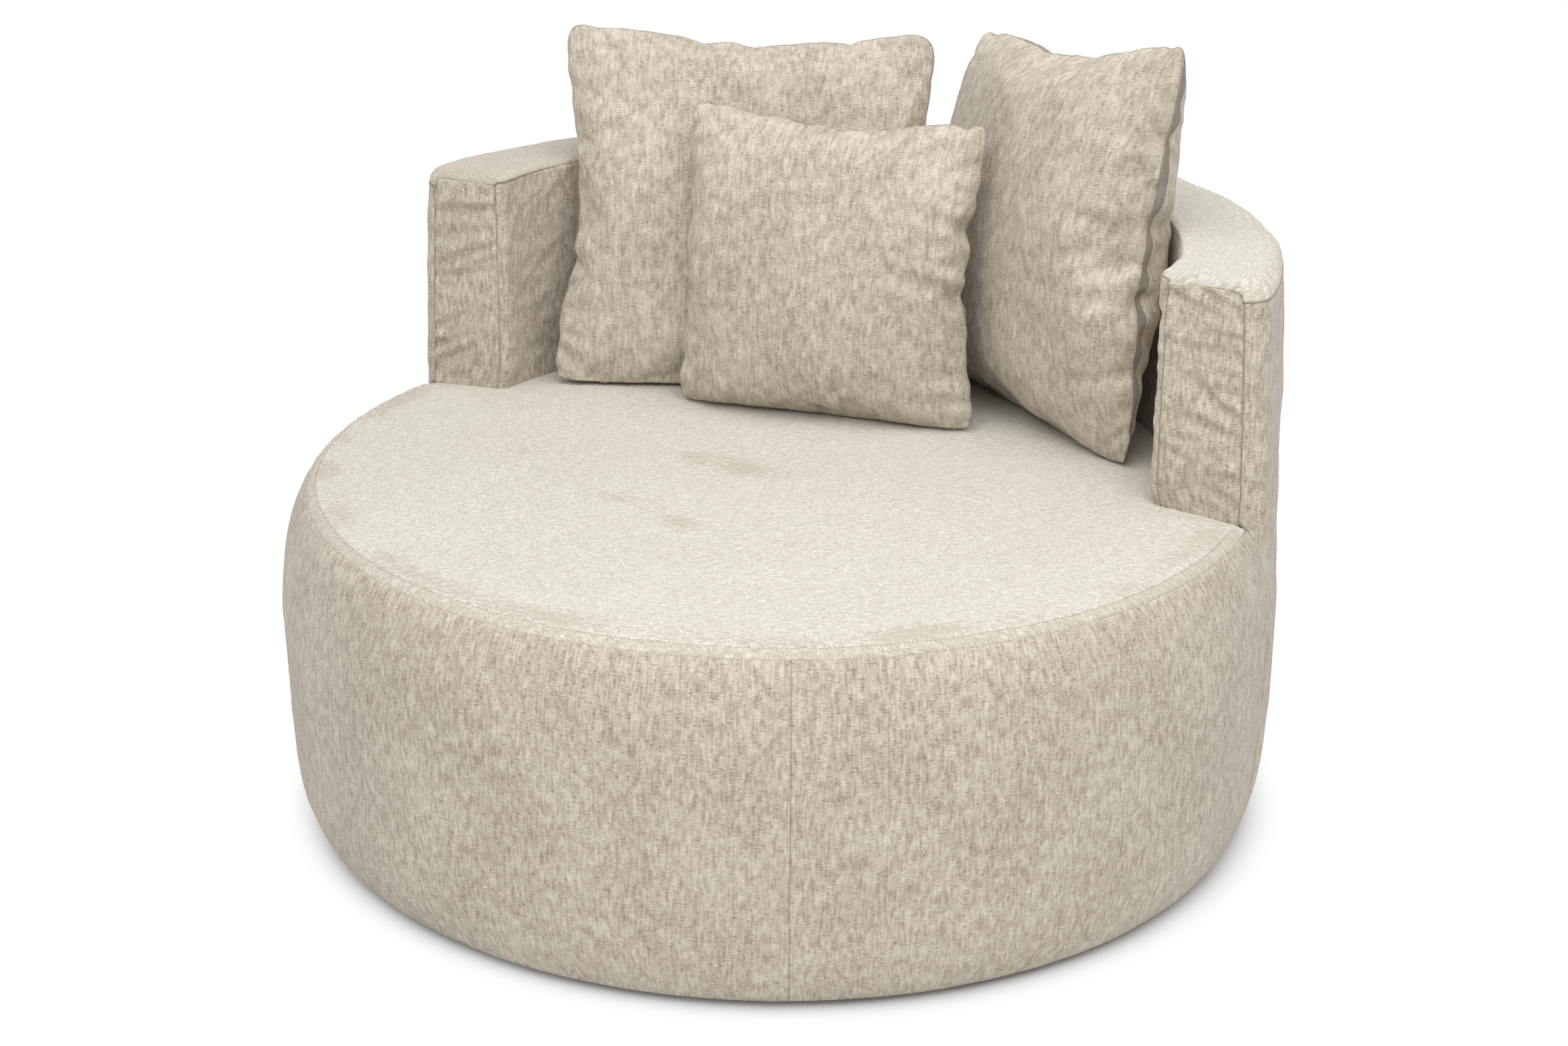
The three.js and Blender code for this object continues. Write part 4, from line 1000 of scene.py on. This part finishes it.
def sewn_squares(steps):
    """Two grids of points over -1..1 that share their outer ring, as places and as point numbers"""
    count = steps + 1
    share = np.linspace(-1, 1, count)
    u, v = np.meshgrid(share, share)
    inside = (np.abs(u) < 1 - 1e-9) & (np.abs(v) < 1 - 1e-9)
    front = np.arange(count * count).reshape(count, count)
    back = front.copy()
    back[inside] = count * count + np.arange(inside.sum())
    return u, v, inside, front, back


def swollen(size, front_depth, back_depth, steps, seed):
    u, v, inside, front, back = sewn_squares(steps)
    half = size / 2
    swell = np.sqrt(np.clip((1 - np.abs(u) ** 2.2) * (1 - np.abs(v) ** 2.2), 0, 1))
    rounding = 0.085 * np.abs(u) ** 8 * np.abs(v) ** 8
    flat_x = u * half * (1 - rounding)
    flat_z = v * half * (1 - rounding)
    spot = np.stack([flat_x, 0 * u, flat_z], -1)
    start = []
    rest = []
    for way, depth, side_seed in ((-1, front_depth, seed), (1, back_depth, seed + 2)):
        uneven = 0.002 * waves(spot, 0.11, side_seed) + 0.0008 * waves(spot, 0.035, side_seed + 1)
        bulge = way * depth * start_share * swell + uneven * inside
        start.append(np.stack([flat_x * start_shrink, bulge, flat_z * start_shrink], -1))
        rest.append(np.stack([flat_x, way * 0.0005 * inside, flat_z], -1))
    start = np.concatenate([start[0].reshape(-1, 3), start[1][inside]])
    rest = np.concatenate([rest[0].reshape(-1, 3), rest[1][inside]])
    mesh = bpy.data.meshes.new("cushion blank")
    mesh.from_pydata(start.tolist(), [], grid_quads(front) + grid_quads(back, turned=True))
    blank = new_object("cushion blank", mesh)
    blank.shape_key_add(name="stuffed")
    cut = blank.shape_key_add(name="as cut")
    cut.data.foreach_set("co", rest.ravel())
    cloth = blank.modifiers.new("cloth", "CLOTH")
    filling = cloth.settings
    filling.rest_shape_key = cut
    filling.quality = 6
    filling.mass = 0.3
    filling.air_damping = 4
    filling.tension_stiffness = 15
    filling.compression_stiffness = 15
    filling.shear_stiffness = 5
    filling.bending_stiffness = 1.5
    filling.use_pressure = True
    filling.uniform_pressure_force = 4
    filling.effector_weights.gravity = 0
    cloth.collision_settings.use_collision = False
    cloth.point_cache.frame_start = 1
    cloth.point_cache.frame_end = fill_frames
    for step in range(1, fill_frames + 1):
        bpy.context.scene.frame_set(step)
    filled = bpy.data.meshes.new_from_object(blank.evaluated_get(bpy.context.evaluated_depsgraph_get()))
    points = np.empty(len(filled.vertices) * 3)
    filled.vertices.foreach_get("co", points)
    bpy.data.objects.remove(blank)
    bpy.data.meshes.remove(filled)
    bpy.context.scene.frame_set(1)
    return points.reshape(-1, 3), u, v, front, back


def drawn_in(points, u, v, facing, half, seed, pulls):
    """The seam draws the sides in between the ears, ripples them, and pulls single creases into both faces

    A pull has its side (left, right, top, bottom), its place along it, its depth, width, length and slant.
    """
    points = points.copy()
    draw = np.random.default_rng(seed)
    pulls = list(pulls)
    for side in range(4):
        for at in np.linspace(-0.78, 0.78, 7) + draw.uniform(-0.07, 0.07, 7):
            depth = draw.uniform(0.0012, 0.0034)
            wide = draw.uniform(0.005, 0.009)
            long = draw.uniform(0.02, 0.07)
            pulls.append((side, at, depth, wide, long, draw.normal(0, 0.3)))
    sides = ((0, -1, u, v), (0, 1, u, v), (2, 1, v, u), (2, -1, v, u))
    for side, (axis, way, over, along) in enumerate(sides):
        away = (1 - way * over) * half
        between = np.clip(1 - np.abs(along) ** 5, 0, 1)
        near = np.clip(1 - away / half, 0, 1) ** 1.5
        amount = (0.0105, 0.0105, 0.013, 0)[side]
        ripple = sum(np.sin(along * k + draw.uniform(0, 6.28)) / k for k in (5, 9, 14, 21))
        steady = 0 if side == 3 else 1
        points[:, axis] -= way * near * between * (amount + 0.006 * ripple * steady)
        for pull_side, at, depth, wide, long, slant in pulls:
            if pull_side != side:
                continue
            beside = (along - at) * half - slant * away + 0.2 * wide * np.sin(away * 70 + at * 40)
            fade = np.exp(-((away / long) ** 2))
            valley = np.exp(-((beside / wide) ** 2))
            ridges = np.exp(-(((np.abs(beside) - 2.1 * wide) / (1.2 * wide)) ** 2))
            points[:, 1] += -facing * depth * (valley - 0.5 * ridges) * fade * np.clip(away / 0.006, 0, 1)
            notch = np.exp(-((beside / (1.7 * wide)) ** 2)) * np.exp(-away / 0.02)
            points[:, axis] -= way * steady * 0.9 * depth * notch
    return points


def cushion(name, size, turn, lean, place, front_depth, back_depth, skew, seed, pulls, wider, ears):
    """A cushion on the seat, with its zip's two lips, its seam and its stitches

    An ear has the corner that it is at, across and up, and how far it is drawn out there.
    """
    steps = 84
    points, u, v, front, back = swollen(size, front_depth, back_depth, steps, seed)
    ring = np.concatenate([front[0], front[-1], front[1:-1, 0], front[1:-1, -1]])
    half = size / 2
    points[:, 0] -= (points[ring, 0].min() + points[ring, 0].max()) / 2
    points[:, 2] -= (points[ring, 2].min() + points[ring, 2].max()) / 2
    points[:, 0] *= half / points[ring, 0].max()
    points[:, 2] *= half / points[ring, 2].max()
    points[:, 1] -= points[ring, 1].mean()
    before = points[:, 1] < 0
    points[before, 1] *= front_depth / -points[:, 1].min()
    points[~before, 1] *= back_depth / points[:, 1].max()
    all_u = np.empty(len(points))
    all_v = np.empty(len(points))
    for face in (back, front):
        all_u[face.ravel()] = u.ravel()
        all_v[face.ravel()] = v.ravel()
    facing = np.zeros(len(points))
    facing[front[1:-1, 1:-1].ravel()] = -1
    facing[back[1:-1, 1:-1].ravel()] = 1
    points = drawn_in(points, all_u, all_v, facing, half, seed + 7, pulls)
    points[:, 0] *= wider
    for ear_u, ear_v, ear_x, ear_z in ears:
        share = ((1 + ear_u * all_u) / 2 * (1 + ear_v * all_v) / 2) ** 4
        points[:, 0] += ear_x * share
        points[:, 2] += ear_z * share
    points[:, 2] += half
    points[:, 2] += skew * all_u * (all_v + 1) / 2
    rest_on = np.abs(all_v + 1) < 1e-9
    points[:, 2] = np.maximum(points[:, 2], 0)
    points[rest_on, 2] = 0
    points[rest_on, 1] = 0

    opened = np.abs(u[0]) < zip_open_share
    lower_front = front[0].tolist()
    lower_back = front[0].tolist()
    extra = []
    total = len(points)
    for c in np.nonzero(opened)[0]:
        lower_back[c] = total + len(extra)
        extra.append(points[front[0, c]] + (0, lip_half, 0))
        points[front[0, c], 1] -= lip_half
    groove_front = list(lower_front)
    groove_back = list(lower_back)
    for c in np.nonzero(opened)[0]:
        groove_front[c] = total + len(extra)
        extra.append(points[front[0, c]] + (0, lip_half - tape_half, tape_depth))
        groove_back[c] = total + len(extra)
        extra.append(points[front[0, c]] + (0, lip_half + tape_half, tape_depth))
    points = np.concatenate([points, np.array(extra)])
    back[0] = lower_back
    faces = grid_quads(front) + grid_quads(back, turned=True)
    for c in np.nonzero(opened[:-1] | opened[1:])[0]:
        rows = (lower_front, groove_front, groove_back, lower_back)
        for near, far in zip(rows, rows[1:]):
            corners = list(dict.fromkeys((near[c + 1], near[c], far[c], far[c + 1])))
            if len(corners) > 2:
                faces.append(corners)

    flat = np.zeros((len(points), 2))
    count = len(all_u)
    flat[:count, 0] = all_u * half
    flat[:count, 1] = (all_v + 1) * half
    flat[back[1:-1, 1:-1].ravel(), 0] += other_side
    flat[count:] = points[count:, [0, 2]]
    spin = Matrix.Rotation(turn, 4, "Z") @ Matrix.Rotation(-lean, 4, "X")
    turned = np.array(spin.to_3x3())
    points = points @ turned.T + np.array(place)
    piece = closed_piece(name + "_cloth", points, faces, flat, cushion_cloth)
    finer = piece.modifiers.new("finer", "SUBSURF")
    finer.levels = 1
    finer.render_levels = 1
    finer.uv_smooth = "NONE"
    smooth = bpy.data.meshes.new_from_object(piece.evaluated_get(bpy.context.evaluated_depsgraph_get()))
    piece.modifiers.clear()
    piece.data = smooth
    smooth.name = name + "_cloth"
    edge = np.concatenate([front[:0:-1, -1][::-1], front[-1, ::-1][1:], front[::-1, 0][1:-1]])
    middle = turned @ np.array([0, 0, half]) + np.array(place)
    edge_line = np.array([smooth.vertices[k].co for k in edge.tolist()])
    inward = middle - edge_line
    inward /= np.linalg.norm(inward, axis=1, keepdims=True)
    seam_fold(name + "_seam", edge_line + 0.0006 * inward, 0.0014, name)
    thread_line = edge_line - 0.0006 * inward
    stitches(name + "_stitches", thread_line, 0.0044, 0.0025, 0.0008, seed, name)
    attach(piece, name)
    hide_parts(name + "_cover", name + "_filling")


def lower_edge_place(x, y, turn, lean):
    """Where the middle of a cushion's lower edge stands: on the seat, a hair clear of it"""
    nearest = abs(y * math.cos(turn) - x * math.sin(turn)) - lip_half
    return (x, y + drum_centre_y, seat_surface(nearest) + 0.0003 + lip_half * math.sin(lean))


def cushion_place(shift, depth, turn, lean):
    """Place of a lower edge, from how far it is shifted aside and set back from the wall's middle"""
    x = shift * math.cos(turn) - depth * math.sin(turn)
    y = back_setback + depth * math.cos(turn) + shift * math.sin(turn)
    return lower_edge_place(x, y, turn, lean)


def edge_depth(size, shift, room, lean):
    """How far back a lower edge stands when the cushion's farther ear leans on the inside of the back"""
    ear = size / 2 + abs(shift)
    reach = math.sqrt((wall_inner_radius - room) ** 2 - ear**2)
    return reach - (wall_top_seam - seat_seam_top) * math.tan(lean)


left_turn, left_lean = math.radians(22), math.radians(15.5)
small_turn, small_lean = math.radians(9), math.radians(9)
right_turn, right_lean = math.radians(-37.3), math.radians(6.3)
left_size, small_size, right_size = 0.497, 0.408, 0.511
left_shift, small_shift, right_shift = -0.1023, -0.0137, -0.009
left_depth = edge_depth(left_size, left_shift, 0.0103, left_lean)
small_depth = left_depth - 0.0993
right_depth = edge_depth(right_size, right_shift, 0.0178, right_lean)
left_place = cushion_place(left_shift, left_depth, left_turn, left_lean)
small_place = cushion_place(small_shift, small_depth, small_turn, small_lean)
right_place = cushion_place(right_shift, right_depth, right_turn, right_lean)
left_pulls = (
    (0, 0.62, 0.0050, 0.010, 0.07, -0.2),
    (0, 0.33, 0.0060, 0.011, 0.08, 0.1),
    (0, -0.35, 0.0040, 0.010, 0.07, 0.2),
    (0, -0.8, 0.0050, 0.010, 0.05, -0.5),
    (2, -0.82, 0.0045, 0.009, 0.06, 0.6),
)
small_pulls = (
    (1, 0.28, 0.0090, 0.009, 0.06, 0.35),
    (1, -0.12, 0.0085, 0.009, 0.075, 0.25),
    (1, -0.6, 0.0040, 0.009, 0.06, -0.2),
    (2, 0.84, 0.0055, 0.006, 0.035, -0.3),
    (0, -0.4, 0.0035, 0.009, 0.05, 0.2),
)
right_pulls = (
    (1, 0.12, 0.0060, 0.009, 0.09, 0.1),
    (1, -0.22, 0.0065, 0.010, 0.1, 0.05),
    (1, -0.55, 0.0045, 0.009, 0.07, -0.2),
    (1, 0.55, 0.0040, 0.008, 0.06, 0.2),
    (2, 0.86, 0.0050, 0.006, 0.04, -0.3),
    (2, -0.8, 0.0045, 0.008, 0.05, 0.4),
)
left_ears = ((-1, -1, -0.012, 0), (-1, 1, -0.004, 0.006))
small_ears = ((1, -1, 0.012, 0), (-1, 1, 0, 0.006), (1, 1, 0.004, 0.004))
right_ears = ((1, -1, 0.014, 0), (1, 1, 0.006, 0.014))
left_form = (left_size, left_turn, left_lean, left_place, 0.060, 0.084, 0)
small_form = (small_size, small_turn, small_lean, small_place, 0.084, 0.026, 0)
right_form = (right_size, right_turn, right_lean, right_place, 0.098, 0.084, 0.030)
cushion("left_cushion", *left_form, 101, left_pulls, 1.045, left_ears)
cushion("small_cushion", *small_form, 111, small_pulls, 1.03, small_ears)
cushion("right_cushion", *right_form, 121, right_pulls, 1.0, right_ears)

# Wooden frame: softwood posts and arm uprights between birch plywood plates, and the rib along the back's
# top. All of it is sawn and left bare under the foam, with darker growth rings and fine fibres.
grain = bpy.data.node_groups.new("wood grain", "ShaderNodeTree")
group_socket(grain, "Vector", "INPUT", "NodeSocketVector")
group_socket(grain, "Pale", "INPUT", "NodeSocketColor", (0.6, 0.42, 0.24, 1))
group_socket(grain, "Dark", "INPUT", "NodeSocketColor", (0.4, 0.25, 0.12, 1))
group_socket(grain, "Ring width", "INPUT", "NodeSocketFloat", 0.006)
group_socket(grain, "Color", "OUTPUT", "NodeSocketColor")
group_socket(grain, "Height", "OUTPUT", "NodeSocketFloat")
grain_in = shader_node(grain, "NodeGroupInput")
grain_out = shader_node(grain, "NodeGroupOutput")
long_grain = shader_node(grain, "ShaderNodeMapping")
long_grain.inputs["Scale"].default_value = (1, 1, 0.12)
grain.links.new(grain_in.outputs["Vector"], long_grain.inputs["Vector"])
rings = shader_node(grain, "ShaderNodeTexWave", wave_type="BANDS", bands_direction="DIAGONAL")
rings.inputs["Distortion"].default_value = 5
rings.inputs["Detail"].default_value = 2.5
grain.links.new(joined(grain, "DIVIDE", 0.35, grain_in.outputs["Ring width"]), rings.inputs["Scale"])
grain.links.new(long_grain.outputs["Vector"], rings.inputs["Vector"])
fibres = pile_noise(grain, long_grain.outputs["Vector"], (1, 1), 700, 2, 0.3, 0.7)
ring_share = joined(grain, "MULTIPLY", rings.outputs["Fac"], 0.7)
grain_share = joined(grain, "ADD", ring_share, joined(grain, "MULTIPLY", fibres, 0.3))
grain_colour = tinted(grain, grain_share, grain_in.outputs["Dark"], grain_in.outputs["Pale"])
grain.links.new(grain_colour, grain_out.inputs["Color"])
grain.links.new(grain_share, grain_out.inputs["Height"])


def bare_wood(name, pale, dark, ring_width, turn=(0, 0, 0)):
    material, tree, surface = new_finish(name)
    place = shader_node(tree, "ShaderNodeTexCoord")
    turned = shader_node(tree, "ShaderNodeMapping")
    turned.inputs["Rotation"].default_value = turn
    wood = shader_node(tree, "ShaderNodeGroup", node_tree=grain)
    wood.inputs["Pale"].default_value = (*pale, 1)
    wood.inputs["Dark"].default_value = (*dark, 1)
    wood.inputs["Ring width"].default_value = ring_width
    tree.links.new(place.outputs["Object"], turned.inputs["Vector"])
    tree.links.new(turned.outputs["Vector"], wood.inputs["Vector"])
    tree.links.new(wood.outputs["Color"], surface.inputs["Base Color"])
    raised(tree, surface, wood.outputs["Height"], 0.6, 0.0003)
    surface.inputs["Roughness"].default_value = 0.72
    return material


def finish_nodes(material, *names):
    for name in names:
        node = nodes[name]
        node.data.materials.clear()
        node.data.materials.append(material)


def numbered(name, count):
    return [f"{name}_{i}" for i in range(1, count + 1)]


softwood = bare_wood("sawn softwood", (0.66, 0.46, 0.26), (0.42, 0.25, 0.115), 0.007)
plywood = bare_wood("birch plywood", (0.68, 0.52, 0.33), (0.5, 0.35, 0.2), 0.02, (0, math.pi / 2, 0))
finish_nodes(plywood, "base_board", "seat_ring")
finish_nodes(softwood, "top_rib", "arm_upright_left", "arm_upright_right")
finish_nodes(softwood, *numbered("lower_post", 6), *numbered("upper_post", 5))


# Bent boards: thin brown hardboard round the drum's front and on both sides of the back. It is smooth on one
# side, with pressed fibres and small flecks.
def speckled(name, pale, dark, scale, roughness, relief=0.0002, metallic=0.0, stretch=(1, 1)):
    """A plain finish with two tones of fine speckle, for boards, foam, plastic and steel"""
    material, tree, surface = new_finish(name)
    place = shader_node(tree, "ShaderNodeTexCoord")
    fine = pile_noise(tree, place.outputs["Object"], stretch, scale, 3, 0.35, 0.65)
    broad = pile_noise(tree, place.outputs["Object"], stretch, scale / 14, 2, 0.3, 0.7)
    share = joined(tree, "ADD", joined(tree, "MULTIPLY", fine, 0.65), joined(tree, "MULTIPLY", broad, 0.35))
    tree.links.new(tinted(tree, share, (*dark, 1), (*pale, 1)), surface.inputs["Base Color"])
    raised(tree, surface, fine, 0.7, relief)
    uneven = joined(tree, "ADD", joined(tree, "MULTIPLY", share, 0.12), roughness - 0.06)
    tree.links.new(uneven, surface.inputs["Roughness"])
    surface.inputs["Metallic"].default_value = metallic
    return material


hardboard = speckled("bent hardboard", (0.3, 0.165, 0.08), (0.17, 0.085, 0.04), 900, 0.6)
finish_nodes(hardboard, "drum_board", "outer_back_board", "inner_back_board")

# Foam and wadding: open-celled cream foam round the drum and the back and in the seat, and white fibre over
# the seat's foam. The pad along the top of the back is rounded to the form of the level panel over it.
foam = speckled("open-celled foam", (0.83, 0.76, 0.5), (0.66, 0.57, 0.33), 1100, 0.95, 0.0006)
fibre = speckled("polyester fibre", (0.86, 0.86, 0.83), (0.7, 0.7, 0.68), 420, 0.97, 0.0012)
finish_nodes(foam, "seat_foam", "drum_wrap", "back_lower_wrap", "back_upper_wrap", "inner_back_foam")
finish_nodes(foam, "arm_front_pad_left", "arm_front_pad_right")
finish_nodes(fibre, "seat_wadding")
pad_under = 0.7331
pad_plan = top_plan[3:-3, 5:-5]
pad_top = np.maximum(top_surface(pad_plan) - cloth_thickness - 0.0012, pad_under + 0.001)
pad_at = np.arange(pad_top.size).reshape(pad_top.shape)
pad_faces = grid_quads(pad_at) + grid_quads(pad_at + pad_top.size, turned=True)
pad_ring = [*pad_at[0], *pad_at[1:, -1], *pad_at[-1, -2::-1], *pad_at[-2::-1, 0]]
for here, there in zip(pad_ring, pad_ring[1:]):
    pad_faces.append([int(there), int(here), int(here) + pad_top.size, int(there) + pad_top.size])
pad_points = np.tile(np.concatenate([pad_plan, pad_top[..., None]], -1).reshape(-1, 3), (2, 1))
pad_points[pad_top.size :, 2] = pad_under
pad_points[:, 1] += drum_centre_y
top_pad = closed_piece("top_pad_foam", pad_points, pad_faces, pad_points[:, :2].copy(), foam)
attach(top_pad, "chair")
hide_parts("back_top_pad")

# Springs: five zigzag lengths of drawn steel wire, greyed by the heat of bending. They lie across the round
# hole in the plate under the seat.
spring_steel = speckled("drawn spring steel", (0.52, 0.53, 0.55), (0.3, 0.31, 0.33), 700, 0.36, 0.00005, 1.0)
finish_nodes(spring_steel, *numbered("seat_spring", 5))

# Underside: black spun-bonded cloth stapled over the base, and six moulded glides under it, which hold the
# hem clear of the floor.
spun_cloth = speckled("black spun cloth", (0.045, 0.045, 0.048), (0.018, 0.018, 0.02), 1300, 0.95, 0.0003)
glide_plastic = speckled("black plastic", (0.05, 0.05, 0.052), (0.026, 0.026, 0.028), 1600, 0.45, 0.00004)
finish_nodes(spun_cloth, "base_cloth")
finish_nodes(glide_plastic, *numbered("glide", 6))

# Zips: a nylon coil on a tape the colour of the cloth, and a small cast slider. They lie between the two
# lips in the lower edge of each cushion.
zip_nylon = speckled("zip tape", (0.56, 0.5, 0.41), (0.36, 0.31, 0.24), 1500, 0.7, 0.0002, 0.0, (1, 0.3))
zip_metal = speckled("bronzed zip slider", (0.3, 0.25, 0.19), (0.19, 0.155, 0.115), 900, 0.42, 0.00004, 1.0)
for name in ("left_cushion", "small_cushion", "right_cushion"):
    finish_nodes(zip_nylon, name + "_zip_tape")
    finish_nodes(zip_metal, name + "_zip_slider")

# Studio: a pale floor that fades to white away from the chair, one broad soft lamp overhead and an even white
# surround. The floor keeps the soft shadow round the hem. It is clear from below and lets light up under the
# chair, so that the underside can be looked at.
def seen_white(tree, path):
    """1 for a ray that shows the plain white background, 0 for one that only gathers light"""
    seen = joined(tree, "MAXIMUM", path.outputs["Is Camera Ray"], path.outputs["Is Glossy Ray"])
    return joined(tree, "MAXIMUM", seen, path.outputs["Is Transmission Ray"])


shadow_edge = 0.596
white_edge = 0.664
open_floor = 0.585
surround_light = 0.58
floor_material, floor_tree, floor_surface = new_finish("pale floor")
floor_surface.inputs["Base Color"].default_value = (0.86, 0.86, 0.86, 1)
floor_surface.inputs["Roughness"].default_value = 1
floor_surface.inputs["Specular IOR Level"].default_value = 0
floor_place = shader_node(floor_tree, "ShaderNodeTexCoord")
floor_reach = shader_node(floor_tree, "ShaderNodeVectorMath", operation="LENGTH")
floor_fade = shader_node(floor_tree, "ShaderNodeMapRange", interpolation_type="SMOOTHSTEP")
floor_fade.inputs["From Min"].default_value = shadow_edge
floor_fade.inputs["From Max"].default_value = white_edge
floor_path = shader_node(floor_tree, "ShaderNodeLightPath")
faded = joined(floor_tree, "MULTIPLY", floor_fade.outputs["Result"], seen_white(floor_tree, floor_path))
white = shader_node(floor_tree, "ShaderNodeEmission", Strength=1.0)
white.inputs["Color"].default_value = (1, 1, 1, 1)
floor_mix = shader_node(floor_tree, "ShaderNodeMixShader")
floor_tree.links.new(floor_place.outputs["Object"], floor_reach.inputs[0])
floor_tree.links.new(floor_reach.outputs["Value"], floor_fade.inputs["Value"])
floor_tree.links.new(faded, floor_mix.inputs["Fac"])
floor_tree.links.new(floor_surface.outputs["BSDF"], floor_mix.inputs[1])
floor_tree.links.new(white.outputs["Emission"], floor_mix.inputs[2])
floor_below = shader_node(floor_tree, "ShaderNodeNewGeometry")
floor_clear = shader_node(floor_tree, "ShaderNodeBsdfTransparent")
floor_side = shader_node(floor_tree, "ShaderNodeMixShader")
floor_under = joined(floor_tree, "LESS_THAN", floor_reach.outputs["Value"], open_floor)
floor_rays = floor_path.outputs
floor_open = joined(floor_tree, "MAXIMUM", floor_rays["Is Diffuse Ray"], floor_rays["Is Shadow Ray"])
floor_open = joined(floor_tree, "MULTIPLY", floor_open, floor_under)
floor_open = joined(floor_tree, "MAXIMUM", floor_open, floor_below.outputs["Backfacing"])
floor_tree.links.new(floor_open, floor_side.inputs["Fac"])
floor_tree.links.new(floor_mix.outputs["Shader"], floor_side.inputs[1])
floor_tree.links.new(floor_clear.outputs["BSDF"], floor_side.inputs[2])
floor_output = floor_tree.nodes["Material Output"]
floor_tree.links.new(floor_side.outputs["Shader"], floor_output.inputs["Surface"])
floor_mesh = bpy.data.meshes.new("floor")
floor_mesh.from_pydata([(-30, -30, 0), (30, -30, 0), (30, 30, 0), (-30, 30, 0)], [], [(0, 1, 2, 3)])
floor_mesh.materials.append(floor_material)
new_object("floor", floor_mesh)

world = bpy.data.worlds.new("studio")
bpy.context.scene.world = world
world.use_nodes = True
world_tree = world.node_tree
world_seen = seen_white(world_tree, shader_node(world_tree, "ShaderNodeLightPath"))
surround = world_tree.nodes["Background"]
surround.inputs["Color"].default_value = (1, 1, 1, 1)
world_strength = joined(world_tree, "MULTIPLY", world_seen, 1 - surround_light)
world_strength = joined(world_tree, "ADD", world_strength, surround_light)
world_tree.links.new(world_strength, surround.inputs["Strength"])

lamp_data = bpy.data.lights.new("overhead softbox", "AREA")
lamp_data.shape = "RECTANGLE"
lamp_data.size = 4.0
lamp_data.size_y = 4.0
lamp_data.energy = 110
lamp = new_object("overhead softbox", lamp_data)
lamp.location = (0.75, -1.2, 3.0)
lamp.rotation_euler = (Vector((0, 0, 0.4)) - lamp.location).to_track_quat("-Z", "Y").to_euler()

bpy.context.scene.view_settings.view_transform = "Standard"
